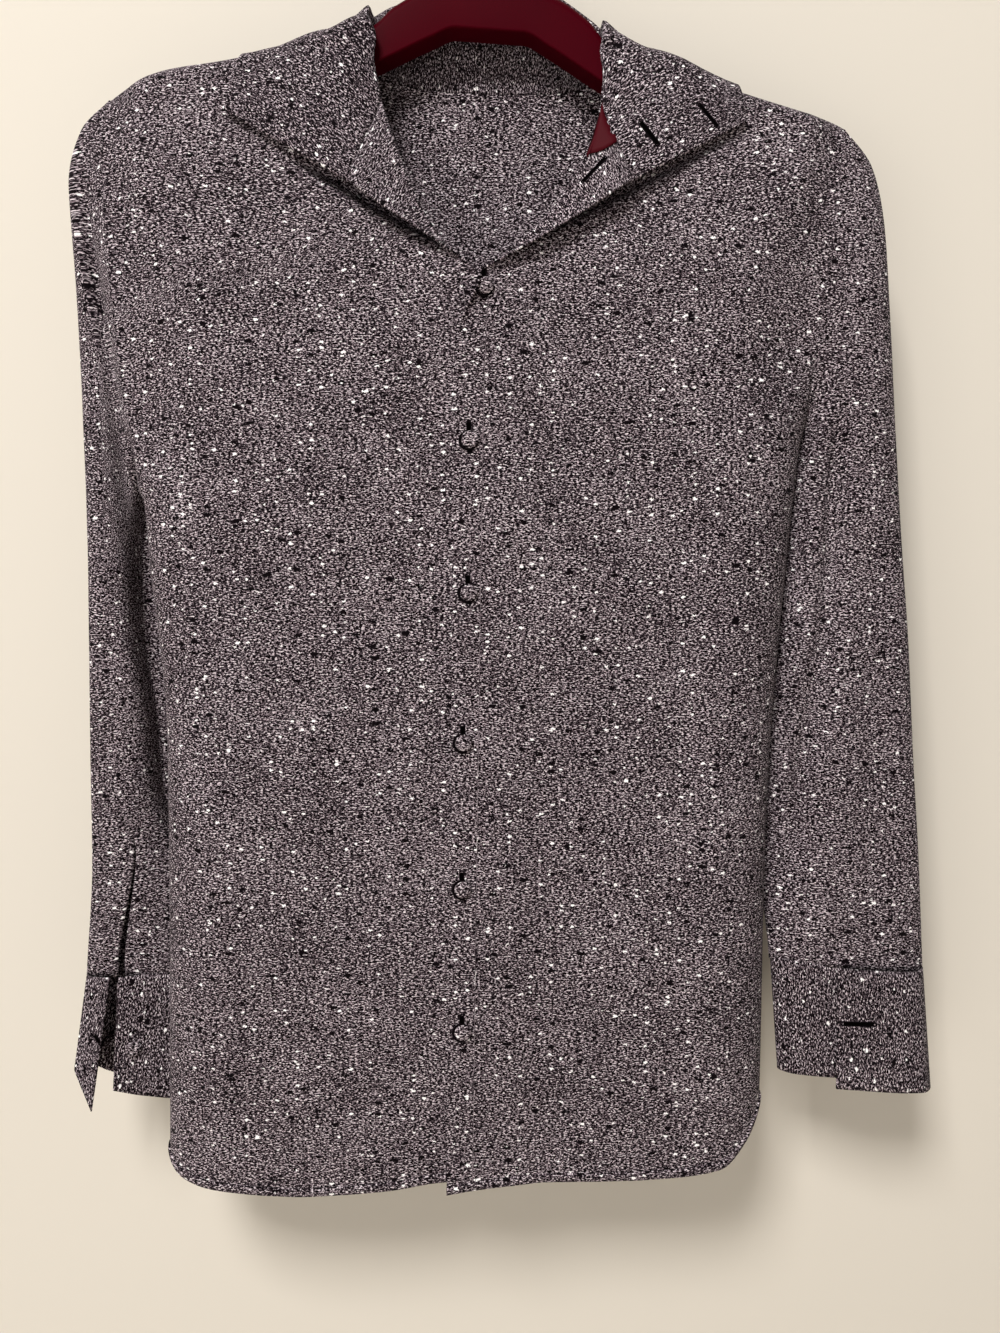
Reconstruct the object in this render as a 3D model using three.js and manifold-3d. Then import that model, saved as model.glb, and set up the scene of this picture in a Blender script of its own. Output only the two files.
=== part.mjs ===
import * as THREE from 'three';
import Module from 'manifold-3d';

// A long-sleeved button-down shirt with a tall open collar, hanging on its coat hanger.
// Millimetres. +X is the viewer's right, +Y points away from the viewer, +Z is up.
// The origin is the inner crown of the hanger's hook. "right" and "left" are the wearer's.

// Driving dimensions
const CLOTH = 1.2;
const COLLAR_CLOTH = 1.8;
const SEAM_GAP = 0.3;
const BAR_TILT = THREE.MathUtils.degToRad(4);
const SHOULDER_WRAP = 11.5;
const SHOULDER_REST = 2.3;
const HOOK_WIRE = 4.4;
const HOOK_INNER_RADIUS = 20;
const BUTTON_DIAMETER = 10.5;
const BUTTON_THICKNESS = 3;
const OVERLAP_STEP = 2.6;
const ROLL_STEP = 2.4;

// Colours as sRGB hex
const CLOTH_COLOUR = '#6b5e63';
const COLLAR_COLOUR = '#645a5f';
const BAR_COLOUR = '#4a020c';
const HOOK_COLOUR = '#b9b6b0';
const LABEL_COLOUR = '#6d1a2c';

// Names the columns of a table of rows.
function table(columns, rows) {
  const names = columns.split(' ');
  return rows.map((row) => Object.fromEntries(names.map((name, i) => [name, row[i]])));
}

// The hanger bar in its own upright frame: distance from its middle, upper edge,
// lower edge and thickness.
const BAR = table('at top bottom thickness', [
  [0, -62, -88.4, 17],
  [21, -62, -88.4, 17],
  [36, -63.5, -95, 17],
  [60, -76, -108, 17],
  [72, -88, -114.5, 17],
  [100, -99, -127, 17],
  [137, -108.5, -138, 17],
  [165, -115.5, -143.5, 17],
  [196, -122.5, -147, 15],
  [208, -128.5, -148.5, 12],
  [216, -135.5, -146.5, 7],
]);

// The line where the cloth bends over the shoulders, past the ends of the bar that it rests on.
const SHOULDER_ENDS = table('at z', [
  [-242, -152.5],
  [-231, -142],
  [-214, -128.6],
  [214, -125],
  [231, -131.5],
]);

// How far the front and the back hang out from the hanger, down the body.
const HANG = table('at front back', [
  [80, 0, 0],
  [113, 1.2, 6],
  [135, 2.2, 7],
  [186, 6.5, 8],
  [250, 11.5, 9],
  [340, 14.5, 9.5],
  [500, 16.5, 9],
  [650, 16.5, 8],
  [830, 12.5, 6],
]);

// Armholes from the shoulder point to the underarm: the seam's place, and its depth in front
// and behind. Side seams go on from there to the hem.
const ARMHOLE_RIGHT = table('at x front back', [
  [126.6, -243, -0.8, 0.8],
  [134, -244.5, -4.4, 4.4],
  [157, -246, -7, 9],
  [201, -245, -9.5, 13],
  [250, -241.5, -10, 15],
  [299, -237.5, -9, 15],
  [336, -233, -6, 12],
  [367, -231, 1.8, 2.2],
]);
const ARMHOLE_LEFT = table('at x front back', [
  [144, 214.6, -0.8, 0.8],
  [152, 213.5, -4.4, 4.4],
  [176, 210.5, -7, 9],
  [214, 206, -9.5, 13],
  [250, 202, -10, 15],
  [280.5, 198, -9, 15],
  [310, 194.6, -6, 12],
  [328, 193.6, 1.8, 2.2],
]);
const SIDE_RIGHT = table('at x', [
  [367, -231],
  [375, -227.5],
  [423, -224],
  [459, -220],
  [526, -216],
  [632, -217],
  [772, -220],
  [830, -221.5],
]);
const SIDE_LEFT = table('at x', [
  [328, 193.6],
  [338, 191],
  [361, 188.5],
  [430, 182.3],
  [501, 177.2],
  [566, 174],
  [632, 173.2],
  [748, 173],
  [830, 171],
]);

// The neck seam, from the right lapel's edge round the back of the neck to the left one's.
const NECK_SEAM = table('at x y z', [
  [0, -92, -29, -186],
  [0.065, -82.5, -22.5, -160],
  [0.13, -73, -15.6, -132],
  [0.19, -79, -12.6, -106],
  [0.225, -83, -10.9, -91.5],
  [0.2375, -83.8, -8, -86.3],
  [0.25, -84, 0, -83],
  [0.2625, -83.8, 8, -86.3],
  [0.275, -83, 10.9, -91.5],
  [0.32, -73, 15, -103],
  [0.37, -56, 17, -110],
  [0.43, -30, 17.8, -113],
  [0.5, -5, 18, -114],
  [0.57, 18, 17.8, -114.5],
  [0.63, 42, 17, -113.5],
  [0.68, 57, 15, -109],
  [0.725, 66.2, 10.9, -99.8],
  [0.7375, 66.8, 8, -94.6],
  [0.75, 67, 0, -91.3],
  [0.7625, 66.8, -8, -94.6],
  [0.775, 66.2, -10.9, -99.8],
  [0.81, 64, -12.4, -114],
  [0.87, 62, -15.6, -135],
  [0.935, 71, -22.5, -161],
  [1, 80, -29, -186],
]);

// The fronts, row by row: where the row starts at the side, and where it meets the neck line,
// the roll line and the front edge. The lift is how far the turned-out edge stands off the
// chest, and the turn is 1 where the lapel is turned out and 0 where the front lies flat.
const FRONT_RIGHT = table('at side neck_x neck_z roll_x roll_z edge_x edge_z lift turn', [
  [0, 0, -84, -83, -73, -132, -92, -186, 10, 1],
  [0.07, 0.16, -82, -122, -66, -153, -80, -195, 9.5, 1],
  [0.14, 0.32, -76, -156, -58.5, -174, -68, -203, 8.5, 1],
  [0.2, 0.46, -68, -188, -49, -196, -53, -212, 6.5, 1],
  [0.24, 0.55, -58, -213, -37, -216, -36, -222, 4, 0.8],
  [0.27, 0.62, -50, -236, -25, -233, -15, -236, 0.5, 0.2],
  [0.31, 0.72, -46, -265, -21, -261, -1, -258, 0, 0],
  [0.36, 0.85, -47, -305, -23, -303, -3, -300, 0, 0],
  [0.42, 1, -50, -360, -26, -357, -5, -355, 0, 0],
  [1, 2, -58, -815, -32, -812, -9, -812, 0, 0],
]);
const FRONT_LEFT = table('at side neck_x neck_z roll_x roll_z edge_x edge_z lift turn', [
  [0, 0, 67, -91.3, 62, -135, 80, -186, 10, 1],
  [0.07, 0.16, 68, -128, 55, -160, 66, -195, 9.5, 1],
  [0.14, 0.34, 62, -160, 42, -185, 50, -205, 8.5, 1],
  [0.2, 0.5, 50, -192, 23, -209, 27, -218, 6.5, 1],
  [0.24, 0.6, 34, -216, 5, -226, 3, -231, 3.5, 0.8],
  [0.27, 0.7, 20, -238, -6, -238, -15, -240, 0, 0.1],
  [0.31, 0.82, 12, -262, -8, -263, -24, -266, 0, 0],
  [0.36, 1, 8, -308, -10, -309, -27, -310, 0, 0],
  [0.42, 1.08, 6, -358, -11, -359, -28, -360, 0, 0],
  [1, 2, 0, -814, -18, -817, -34.5, -820, 0, 0],
]);

// Hems, by the distance across the body.
const HEM_FRONT_RIGHT = table('at z', [
  [-222, -803],
  [-210, -813],
  [-183, -818.5],
  [-130, -822.5],
  [-78, -819],
  [-35, -812.5],
  [0, -811],
]);
const HEM_FRONT_LEFT = table('at z', [
  [-35, -820],
  [-20, -817],
  [10, -813.5],
  [91, -811],
  [143, -805],
  [160, -790],
  [172, -770],
]);
const HEM_BACK = table('at z', [
  [-222, -803],
  [-205, -815],
  [-150, -825],
  [-25, -829],
  [90, -825],
  [145, -812],
  [160, -795],
  [172, -771],
]);

// Soft lengthwise troughs that the hanging cloth falls into, by their upper and lower ends.
const BODY_TROUGHS = table('x_top z_top x_bottom z_bottom width depth', [
  [-172, -215, -184, -560, 26, 3.2],
  [-110, -330, -92, -760, 34, 1.8],
  [-50, -260, -42, -830, 18, 1.6],
  [50, -420, 28, -840, 30, 1.6],
  [125, -250, 96, -640, 30, 2.2],
]);
const SLEEVE_LEFT_TROUGHS = table('x_top z_top x_bottom z_bottom width depth', [
  [215, -300, 211, -480, 6, 4.5],
  [211, -440, 192, -625, 6, 4.5],
  [236, -380, 248, -660, 14, 1.8],
]);
const SLEEVE_RIGHT_TROUGHS = table('x_top z_top x_bottom z_bottom width depth', [
  [-261, -170, -246, -300, 4.5, 3.2],
  [-246, -270, -240, -420, 4.5, 3.2],
  [-256, -430, -262, -660, 7, 1.6],
]);

// The collar's sections from its right front end round the neck to its left front end. Each
// leaves the neck seam, rolls at the fold, passes over the shoulder and ends at the free edge.
const COLLAR = table('at fold_x fold_y fold_z over_x over_y over_z edge_x edge_y edge_z', [
  [0, -117, -25.5, -170.8, -143, -21, -155, -167.7, -17.5, -140],
  [0.065, -109, -21.5, -142, -137, -18, -126, -163, -14, -118],
  [0.13, -94, -17.5, -112, -126, -12, -98, -155, 0, -99.5],
  [0.19, -75, -16, -94, -108, -3, -85.5, -147, 9.5, -99.5],
  [0.225, -80, -11.5, -78, -105, 6, -84, -139, 16.5, -102],
  [0.25, -80, -1, -69.5, -103, 11, -82, -135, 21, -103],
  [0.275, -79, 11.5, -69, -100, 15, -78.5, -127, 25.5, -99],
  [0.32, -76, 15, -67, -92, 25, -70, -108, 34, -90],
  [0.37, -57, 22, -72, -63, 29, -52, -76, 37, -55],
  [0.43, -30, 22, -80, -31, 27, -52, -34, 31, -38],
  [0.5, -5, 22, -82, -5, 26.5, -53, -5, 29, -34],
  [0.57, 19, 22, -81, 20, 27, -53, 22, 31, -39],
  [0.63, 44, 22, -76, 49, 29, -57, 60, 37, -59],
  [0.68, 60, 15, -77, 76, 25, -80, 93, 34, -98],
  [0.725, 62, 11.5, -78, 84, 15, -88, 113, 25.5, -109],
  [0.75, 63, -1, -78.5, 87, 11, -91.5, 122, 21, -114],
  [0.775, 62.5, -11.5, -87, 90, 6, -94, 127, 16.5, -116],
  [0.81, 60.5, -16, -103, 93, -3, -96.5, 136, 9.5, -117.5],
  [0.87, 84, -17.5, -121, 115, -12, -110, 147, 0, -117.5],
  [0.935, 97, -21.5, -149, 123, -18, -138, 148.5, -14, -132],
  [1, 103, -25.5, -173, 127, -21, -160, 149.7, -17.5, -147],
]);

// The sleeves, section by section from the armhole to the cuff: the outer and inner edges of
// the flattened tube, its front and back layers, and how far the back layer reaches inwards.
const SLEEVE_LEFT = table('at outer_x outer_z inner_x inner_z front_out front_in back_out back_in back_x', [
  [0.1, 233, -165, 195.5, -335, -9, -9, 14, 14, 195.5],
  [0.2, 242, -200, 195, -350, -10, -10, 16, 16, 195],
  [0.32, 247, -255, 193, -375, -11, -11, 17, 17, 193],
  [0.45, 252, -320, 190, -415, -11, -11, 17, 17, 190],
  [0.58, 258, -395, 186.5, -465, -11, -10, 16, 17, 186.5],
  [0.7, 264.5, -465, 183, -520, -11, -10, 15, 16, 183],
  [0.8, 269.5, -535, 181.5, -570, -10, -9, 14, 15, 181.5],
  [0.9, 275.5, -608, 178.5, -625, -9, -8, 13, 14, 178.5],
  [1, 280.3, -682.5, 179.3, -674.5, -8, -7, 12, 12, 179.3],
]);
const SLEEVE_RIGHT = table('at outer_x outer_z inner_x inner_z front_out front_in back_out back_in back_x', [
  [0.1, -262, -144.5, -234, -373, -8, -6, 10, 14, -234],
  [0.2, -271, -176, -236, -383, -8, -3, 14, 20, -233],
  [0.32, -269, -230, -238, -400, -7, -1, 17, 25, -226],
  [0.45, -267.5, -300, -239.5, -425, -6, 0, 19, 28, -218],
  [0.58, -267, -385, -239, -462, -5, 2, 20, 30, -211],
  [0.7, -268.5, -465, -233, -510, -4, 5, 21, 31, -206],
  [0.8, -270.5, -535, -229, -565, -2, 9, 22, 33, -198],
  [0.9, -272, -610, -206, -630, 0, 23, 22, 36, -188],
  [1, -279, -690, -180, -692, 4, 27, 22, 38, -178],
]);

// The cuffs, round the wrist: the place of the upper and of the lower edge.
const CUFF_LEFT = table('at top_x top_y top_z low_x low_y low_z', [
  [0, 246, -6.3, -680.6, 250, -6.3, -754],
  [0.12, 215, -6.8, -678.2, 220, -6.8, -752],
  [0.25, 190, -5, -676.2, 196, -5, -750.5],
  [0.31, 180.4, 2.3, -675.3, 186.5, 2.3, -750],
  [0.37, 190, 10, -676.2, 196, 10, -750.5],
  [0.5, 230, 12, -679, 236, 12, -753.5],
  [0.62, 270, 10.5, -682.2, 277, 10.5, -760],
  [0.68, 280.3, 2, -683.2, 287.5, 2, -761.5],
  [0.74, 272, -9, -682.6, 279, -9.5, -761],
  [0.86, 250, -12, -681.2, 255, -12.4, -759.5],
  [1, 220, -12, -679, 220.5, -12.4, -757],
]);
const CUFF_RIGHT = table('at top_x top_y top_z low_x low_y low_z', [
  [0, -257, 8, -693, -260, 3, -766],
  [0.12, -238, 13, -692.6, -242, 10, -773],
  [0.28, -208, 21, -692.6, -212, 18, -779],
  [0.38, -186, 27, -693, -189, 24, -780],
  [0.43, -179.5, 32.5, -693, -182, 31, -780],
  [0.48, -188, 36.3, -693, -190, 35, -779],
  [0.62, -225, 29.5, -692.6, -226, 29, -774],
  [0.78, -262, 23.5, -692.4, -268, 19, -760],
  [0.86, -277, 17, -691.6, -284, 10, -748],
  [0.92, -277.5, 8.5, -691.6, -283.5, 0, -750],
  [1, -261, 5, -692.4, -272, -4, -777],
]);

// Reads one named column of a table at a place between its rows, smoothly and without overshoot.
function read(rows, column, at) {
  const last = rows.length - 1;
  if (at <= rows[0].at) return rows[0][column];
  if (at >= rows[last].at) return rows[last][column];
  let i = 0;
  while (rows[i + 1].at < at) i += 1;
  const slope = (k) => (rows[k + 1][column] - rows[k][column]) / (rows[k + 1].at - rows[k].at);
  const tangent = (k) => {
    if (k === 0) return slope(0);
    if (k === last) return slope(last - 1);
    const [before, after] = [slope(k - 1), slope(k)];
    return before * after <= 0 ? 0 : (2 * before * after) / (before + after);
  };
  const span = rows[i + 1].at - rows[i].at;
  const t = (at - rows[i].at) / span;
  const start = rows[i][column] * (1 + 2 * t) + tangent(i) * span * t;
  const end = rows[i + 1][column] * (3 - 2 * t) - tangent(i + 1) * span * (1 - t);
  return start * (1 - t) ** 2 + end * t ** 2;
}

const lerp = THREE.MathUtils.lerp;
const smooth = (from, to, value) => THREE.MathUtils.smoothstep(value, from, to);
const point = (x, y, z) => new THREE.Vector3(x, y, z);

// Turns a place in the hanger's upright frame to the frame of the whole object.
function tilted(x, z) {
  const [c, s] = [Math.cos(BAR_TILT), Math.sin(BAR_TILT)];
  return { x: x * c + z * s, z: z * c - x * s };
}

const onBar = BAR.filter((row) => row.at >= 60 && row.at < 200)
  .flatMap((row) => [-1, 1].map((way) => ({ at: way * row.at, z: row.top + SHOULDER_REST })));
const SHOULDER = [...onBar, ...SHOULDER_ENDS].map((row) => {
  const place = tilted(row.at, row.z);
  return { at: place.x, z: place.z };
}).toSorted((a, b) => a.at - b.at);
const SIDES = {
  right: { armhole: ARMHOLE_RIGHT, seam: SIDE_RIGHT, hem: 803 },
  left: { armhole: ARMHOLE_LEFT, seam: SIDE_LEFT, hem: 771 },
};
const SIDE_SEAM_DEPTH = 2;
const SIDE_SEAM_GAP = 1.3;

// The body's edge at one height: the armhole seam, and below it the side seam.
function sideAt(side, z) {
  const { armhole, seam } = SIDES[side];
  const down = -z;
  if (down > armhole.at(-1).at) {
    const halfGap = SIDE_SEAM_GAP / 2;
    const x = read(seam, 'x', down);
    return { x, z, front: SIDE_SEAM_DEPTH - halfGap, back: SIDE_SEAM_DEPTH + halfGap };
  }
  const [x, front, back] = ['x', 'front', 'back'].map((column) => read(armhole, column, down));
  return { x, z, front, back };
}

// The body's edge along its length: 0 to 1 down the armhole, 1 to 2 down the side seam.
function sideAlong(side, along) {
  const { armhole, hem } = SIDES[side];
  const [top, under] = [armhole[0].at, armhole.at(-1).at];
  const down = along <= 1 ? lerp(top, under, along) : lerp(under, hem, along - 1);
  return sideAt(side, -down);
}

// How deep the troughs of a table are at one place.
function troughDepth(troughs, x, z) {
  let depth = 0;
  for (const trough of troughs) {
    const along = (trough.z_top - z) / (trough.z_top - trough.z_bottom);
    if (along > 0 && along < 1) {
      const off = (x - lerp(trough.x_top, trough.x_bottom, along)) / trough.width;
      depth += trough.depth * Math.exp(-off * off) * Math.sin(Math.PI * along) ** 0.7;
    }
  }
  return depth;
}

const BODY_MIDDLE = -22;

// Where the front or the back of the body lies in Y, at a place of its outline.
function bodyDepth(face, x, z) {
  const drop = Math.max(0, read(SHOULDER, 'z', x) - z);
  const inside = Math.max(0, SHOULDER_WRAP - drop);
  const wrap = Math.sqrt(SHOULDER_WRAP ** 2 - inside ** 2);
  const hang = read(HANG, face, -z) * smooth(0, 50, drop);
  const out = wrap + hang - troughDepth(BODY_TROUGHS, x, z);
  const side = x < BODY_MIDDLE ? 'right' : 'left';
  const edge = sideAt(side, z);
  const inset = Math.max(0, side === 'right' ? x - edge.x : edge.x - x);
  const underarm = SIDES[side].armhole.at(-1).at;
  const folded = smooth(underarm - 60, underarm + 10, -z);
  const soft = smooth(0, lerp(26, 60, smooth(150, 260, -z)), inset);
  const round = Math.sqrt(1 - (1 - Math.min(inset, 45) / 45) ** 2);
  return lerp(edge[face], face === 'front' ? -out : out, lerp(soft, round, folded));
}

// A closed wall of cloth round a grid of points on its middle surface. rows[i][j] are the
// points; a ring closes on itself along j.
function wall(rows, thickness, ring = false) {
  const [height, width] = [rows.length, rows[0].length];
  const wrap = (j) => (ring ? (j + width) % width : Math.max(0, Math.min(width - 1, j)));
  const clamp = (i) => Math.max(0, Math.min(height - 1, i));
  const positions = [];
  for (const side of [1, -1]) {
    for (let i = 0; i < height; i += 1) {
      for (let j = 0; j < width; j += 1) {
        const across = rows[i][wrap(j + 1)].clone().sub(rows[i][wrap(j - 1)]);
        const down = rows[clamp(i + 1)][j].clone().sub(rows[clamp(i - 1)][j]);
        const normal = across.cross(down).normalize();
        const place = rows[i][j].clone().addScaledVector(normal, side * thickness / 2);
        positions.push(place.x, place.y, place.z);
      }
    }
  }
  const at = (side, i, j) => side * height * width + i * width + wrap(j);
  const faces = [];
  const quad = (a, b, c, d) => faces.push(a, b, c, a, c, d);
  const steps = ring ? width : width - 1;
  for (let i = 0; i < height - 1; i += 1) {
    for (let j = 0; j < steps; j += 1) {
      quad(at(0, i, j), at(0, i, j + 1), at(0, i + 1, j + 1), at(0, i + 1, j));
      quad(at(1, i, j), at(1, i + 1, j), at(1, i + 1, j + 1), at(1, i, j + 1));
    }
  }
  for (let j = 0; j < steps; j += 1) {
    quad(at(0, 0, j + 1), at(0, 0, j), at(1, 0, j), at(1, 0, j + 1));
    quad(at(0, height - 1, j), at(0, height - 1, j + 1), at(1, height - 1, j + 1), at(1, height - 1, j));
  }
  for (let i = 0; i < height - 1 && !ring; i += 1) {
    quad(at(0, i, 0), at(0, i + 1, 0), at(1, i + 1, 0), at(1, i, 0));
    quad(at(0, i + 1, width - 1), at(0, i, width - 1), at(1, i, width - 1), at(1, i + 1, width - 1));
  }
  return closed(positions, faces);
}

// A mesh from positions and faces, turned so that its faces point outwards.
function closed(positions, faces) {
  let volume = 0;
  const vertex = (i) => point(positions[3 * i], positions[3 * i + 1], positions[3 * i + 2]);
  for (let f = 0; f < faces.length; f += 3) {
    const [a, b, c] = [vertex(faces[f]), vertex(faces[f + 1]), vertex(faces[f + 2])];
    volume += a.dot(b.cross(c));
  }
  if (volume < 0) faces.reverse();
  const geometry = new THREE.BufferGeometry();
  geometry.setAttribute('position', new THREE.Float32BufferAttribute(positions, 3));
  geometry.setIndex(faces);
  geometry.computeVertexNormals();
  return geometry;
}

// A solid through closed rings of points, with flat ends.
function loft(rings) {
  const count = rings[0].length;
  const positions = rings.flat().flatMap((p) => [p.x, p.y, p.z]);
  const faces = [];
  for (let i = 0; i < rings.length - 1; i += 1) {
    for (let j = 0; j < count; j += 1) {
      const next = (j + 1) % count;
      const [a, b] = [i * count + j, i * count + next];
      faces.push(a, b, b + count, a, b + count, a + count);
    }
  }
  const last = (rings.length - 1) * count;
  for (let j = 1; j < count - 1; j += 1) {
    faces.push(0, j + 1, j, last, last + j, last + j + 1);
  }
  return closed(positions, faces);
}

const cutting = await Module();
cutting.setup();

// A wall with a slit cut through it along Y, given the slit's corners in X and Z.
function slitted(geometry, { corners, front, back }) {
  const cloth = new cutting.Manifold(new cutting.Mesh({
    numProp: 3,
    vertProperties: geometry.attributes.position.array,
    triVerts: new Uint32Array(geometry.index.array),
  }));
  const wedge = cutting.Manifold.extrude(corners, back - front).rotate([90, 0, 0]);
  const cut = cloth.subtract(wedge.translate([0, back, 0])).getMesh();
  return closed([...cut.vertProperties], [...cut.triVerts]);
}

const shirt = new THREE.Group();

// Adds one named piece in its own colour.
function piece(name, geometry, color, roughness = 0.9, metalness = 0) {
  const mesh = new THREE.Mesh(geometry, new THREE.MeshStandardMaterial({ color, roughness, metalness }));
  mesh.name = name;
  shirt.add(mesh);
  return mesh;
}

// Rows down the fronts and the back. They are close together where the cloth bends over the
// shoulder, and where the lapels turn.
const TOP_ROWS = [0, 0.0015, 0.0045, 0.009, 0.016, 0.028, 0.045, 0.07, 0.105, 0.14, 0.17, 0.2];
const MIDDLE_ROWS = [0.222, 0.24, 0.255, 0.27, 0.29, 0.32, 0.365, 0.42];
const LOW_ROWS = [0.49, 0.57, 0.66, 0.75, 0.84, 0.93, 1];
const ROWS = [...TOP_ROWS, ...MIDDLE_ROWS, ...LOW_ROWS];
const UNDERARM_ROW = 0.42;
const NECK_FADE = 0.03;

const neckSeam = (at) => point(...['x', 'y', 'z'].map((column) => read(NECK_SEAM, column, at)));

const FRONTS = {
  right: { rows: FRONT_RIGHT, hem: HEM_FRONT_RIGHT, inward: 1, neck_at: 0.25, roll_at: 0.13, edge_at: 0 },
  left: { rows: FRONT_LEFT, hem: HEM_FRONT_LEFT, inward: -1, neck_at: 0.75, roll_at: 0.87, edge_at: 1 },
};

// Columns across a front: the stretch they lie in, how far along it, and where on the neck
// seam they start.
const FRONT_COLUMNS = [
  ...[0, 0.012, 0.05, 0.13, 0.26, 0.4, 0.55, 0.7, 0.85, 1].map((part) => ({ stretch: 'chest', part })),
  ...[0.11, 0.22, 0.45, 0.72].map((part) => ({ stretch: 'neck', part })),
  ...[-1, 0, 1].map((part) => ({ stretch: 'roll', part })),
  ...[0.33, 0.67, 1].map((part) => ({ stretch: 'lapel', part })),
];

// The place of a front's column on one row, before it meets the neck seam.
function frontPlace(side, column, at) {
  const front = FRONTS[side];
  const row = (name) => read(front.rows, name, at);
  const edgeSide = sideAlong(side, row('side'));
  const [turn, lift, roll] = [row('turn'), row('lift'), { x: row('roll_x'), z: row('roll_z') }];
  const [before, after] = [roll.x - front.inward * 2.4, roll.x + front.inward * 2.4 * (1 - 2 * turn)];
  let [x, z, out] = [roll.x, roll.z, turn * ROLL_STEP];
  if (column.stretch === 'chest') {
    x = lerp(edgeSide.x, row('neck_x'), column.part);
    z = lerp(edgeSide.z, row('neck_z'), column.part);
    out = 0;
  } else if (column.stretch === 'neck') {
    x = lerp(row('neck_x'), before, column.part);
    z = lerp(row('neck_z'), roll.z, column.part);
    out = 0;
  } else if (column.stretch === 'lapel') {
    x = lerp(after, row('edge_x'), column.part);
    z = lerp(roll.z - 1.5 * turn, row('edge_z'), column.part);
    out = turn * lerp(2 * ROLL_STEP, lift, column.part);
  } else if (column.part < 0) {
    x = before;
    out = 0;
  } else if (column.part > 0) {
    x = after;
    z = roll.z - 1.5 * turn;
    out = turn * 2 * ROLL_STEP;
  }
  return { x, z, out };
}

// Half the space between the middles of the front's and the back's cloth by the shoulder seam.
function shoulderGap(x, z) {
  const drop = Math.max(0, read(SHOULDER, 'z', x) - z);
  return SEAM_GAP / 2 + 0.15 + CLOTH / 2 * Math.min(1, drop / 1.2);
}

// A point of a front: on the shoulder line at its top, on the hem at its foot.
function frontPoint(side, column, at) {
  const front = FRONTS[side];
  const place = frontPlace(side, column, at);
  let { x, z } = place;
  if (column.stretch === 'chest') {
    const top = frontPlace(side, column, 0);
    const arch = read(SHOULDER, 'z', top.x) - top.z;
    z += arch * Math.max(0, 1 - at / UNDERARM_ROW) ** 2;
  }
  if (at > UNDERARM_ROW) {
    const foot = frontPlace(side, column, 1);
    const fall = (at - UNDERARM_ROW) / (1 - UNDERARM_ROW);
    z += (read(front.hem, 'z', foot.x) - foot.z) * fall ** 2;
  }
  const over = side === 'left' ? (1 - smooth(4, 30, x)) * smooth(205, 236, -z) * OVERLAP_STEP : 0;
  const y = Math.min(bodyDepth('front', x, z), -shoulderGap(x, z));
  const edge = column.stretch === 'chest' && column.part === 0;
  return point(x, (edge ? sideAt(side, z).front : y) - place.out - over, z);
}

// Where a column starts on the neck seam.
function neckStart(side, column) {
  const { neck_at: neck, roll_at: roll, edge_at: edge } = FRONTS[side];
  const near = 0.006 * Math.sign(neck - roll);
  if (column.stretch === 'neck') return lerp(neck, roll + near, column.part);
  if (column.stretch === 'lapel') return lerp(roll - near, edge, column.part);
  return roll - near * column.part;
}

// A point of a front, drawn to the neck seam at its top.
function frontCloth(side, column, at) {
  const place = frontPoint(side, column, at);
  if (column.stretch !== 'chest' && at < NECK_FADE) {
    const shift = neckSeam(neckStart(side, column)).sub(frontPoint(side, column, 0));
    place.addScaledVector(shift, 1 - at / NECK_FADE);
  }
  return place;
}

const frontRows = (side) => ROWS.map((at) => FRONT_COLUMNS.map((column) => frontCloth(side, column, at)));

// The back, hanging from the shoulder line and the neck seam.
const BACK_COLUMNS = [
  ...[0, 0.012, 0.05, 0.15, 0.32, 0.5, 0.68, 0.85].map((part) => ({ stretch: 'right', part })),
  ...[0.25, 0.2625, 0.275, 0.2975, 0.32, 0.37, 0.43, 0.5].map((part) => ({ stretch: 'neck', part })),
  ...[0.57, 0.63, 0.68, 0.7025, 0.725, 0.7375, 0.75].map((part) => ({ stretch: 'neck', part })),
  ...[0.15, 0.32, 0.5, 0.68, 0.85, 0.95, 0.988, 1].map((part) => ({ stretch: 'left', part })),
];

function backTop(column) {
  if (column.stretch === 'neck') return neckSeam(column.part);
  const [from, to] = column.stretch === 'right'
    ? [sideAlong('right', 0).x, neckSeam(0.25).x]
    : [neckSeam(0.75).x, sideAlong('left', 0).x];
  const x = lerp(from, to, column.part);
  return point(x, SEAM_GAP / 2 + 0.15, read(SHOULDER, 'z', x));
}

function backPoint(column, at) {
  const top = backTop(column);
  const along = at <= UNDERARM_ROW ? at / UNDERARM_ROW : 1 + (at - UNDERARM_ROW) / (1 - UNDERARM_ROW);
  const [right, left] = [sideAlong('right', along), sideAlong('left', along)];
  const [rightTop, leftTop] = [sideAlong('right', 0), sideAlong('left', 0)];
  const share = (top.x - rightTop.x) / (leftTop.x - rightTop.x);
  const x = lerp(right.x, left.x, share);
  let z = lerp(right.z, left.z, share);
  z += (top.z - lerp(rightTop.z, leftTop.z, share)) * Math.max(0, 1 - at / UNDERARM_ROW) ** 1.5;
  if (along > 1) {
    z += (read(HEM_BACK, 'z', x) - lerp(-SIDES.right.hem, -SIDES.left.hem, share)) * (along - 1) ** 2;
  }
  const edge = share <= 0.0001 ? right : left;
  const onEdge = share <= 0.0001 || share >= 0.9999;
  const y = Math.max(onEdge ? edge.back : bodyDepth('back', x, z), shoulderGap(x, z));
  const least = shoulderGap(top.x, top.z);
  const shift = Math.max(top.y, least) - Math.max(bodyDepth('back', top.x, top.z), least);
  const fade = column.stretch === 'neck' ? Math.max(0, 1 - at / NECK_FADE) : 0;
  return point(x, y + shift * fade, z);
}

const backRows = ROWS.map((at) => BACK_COLUMNS.map((column) => backPoint(column, at)));

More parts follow.
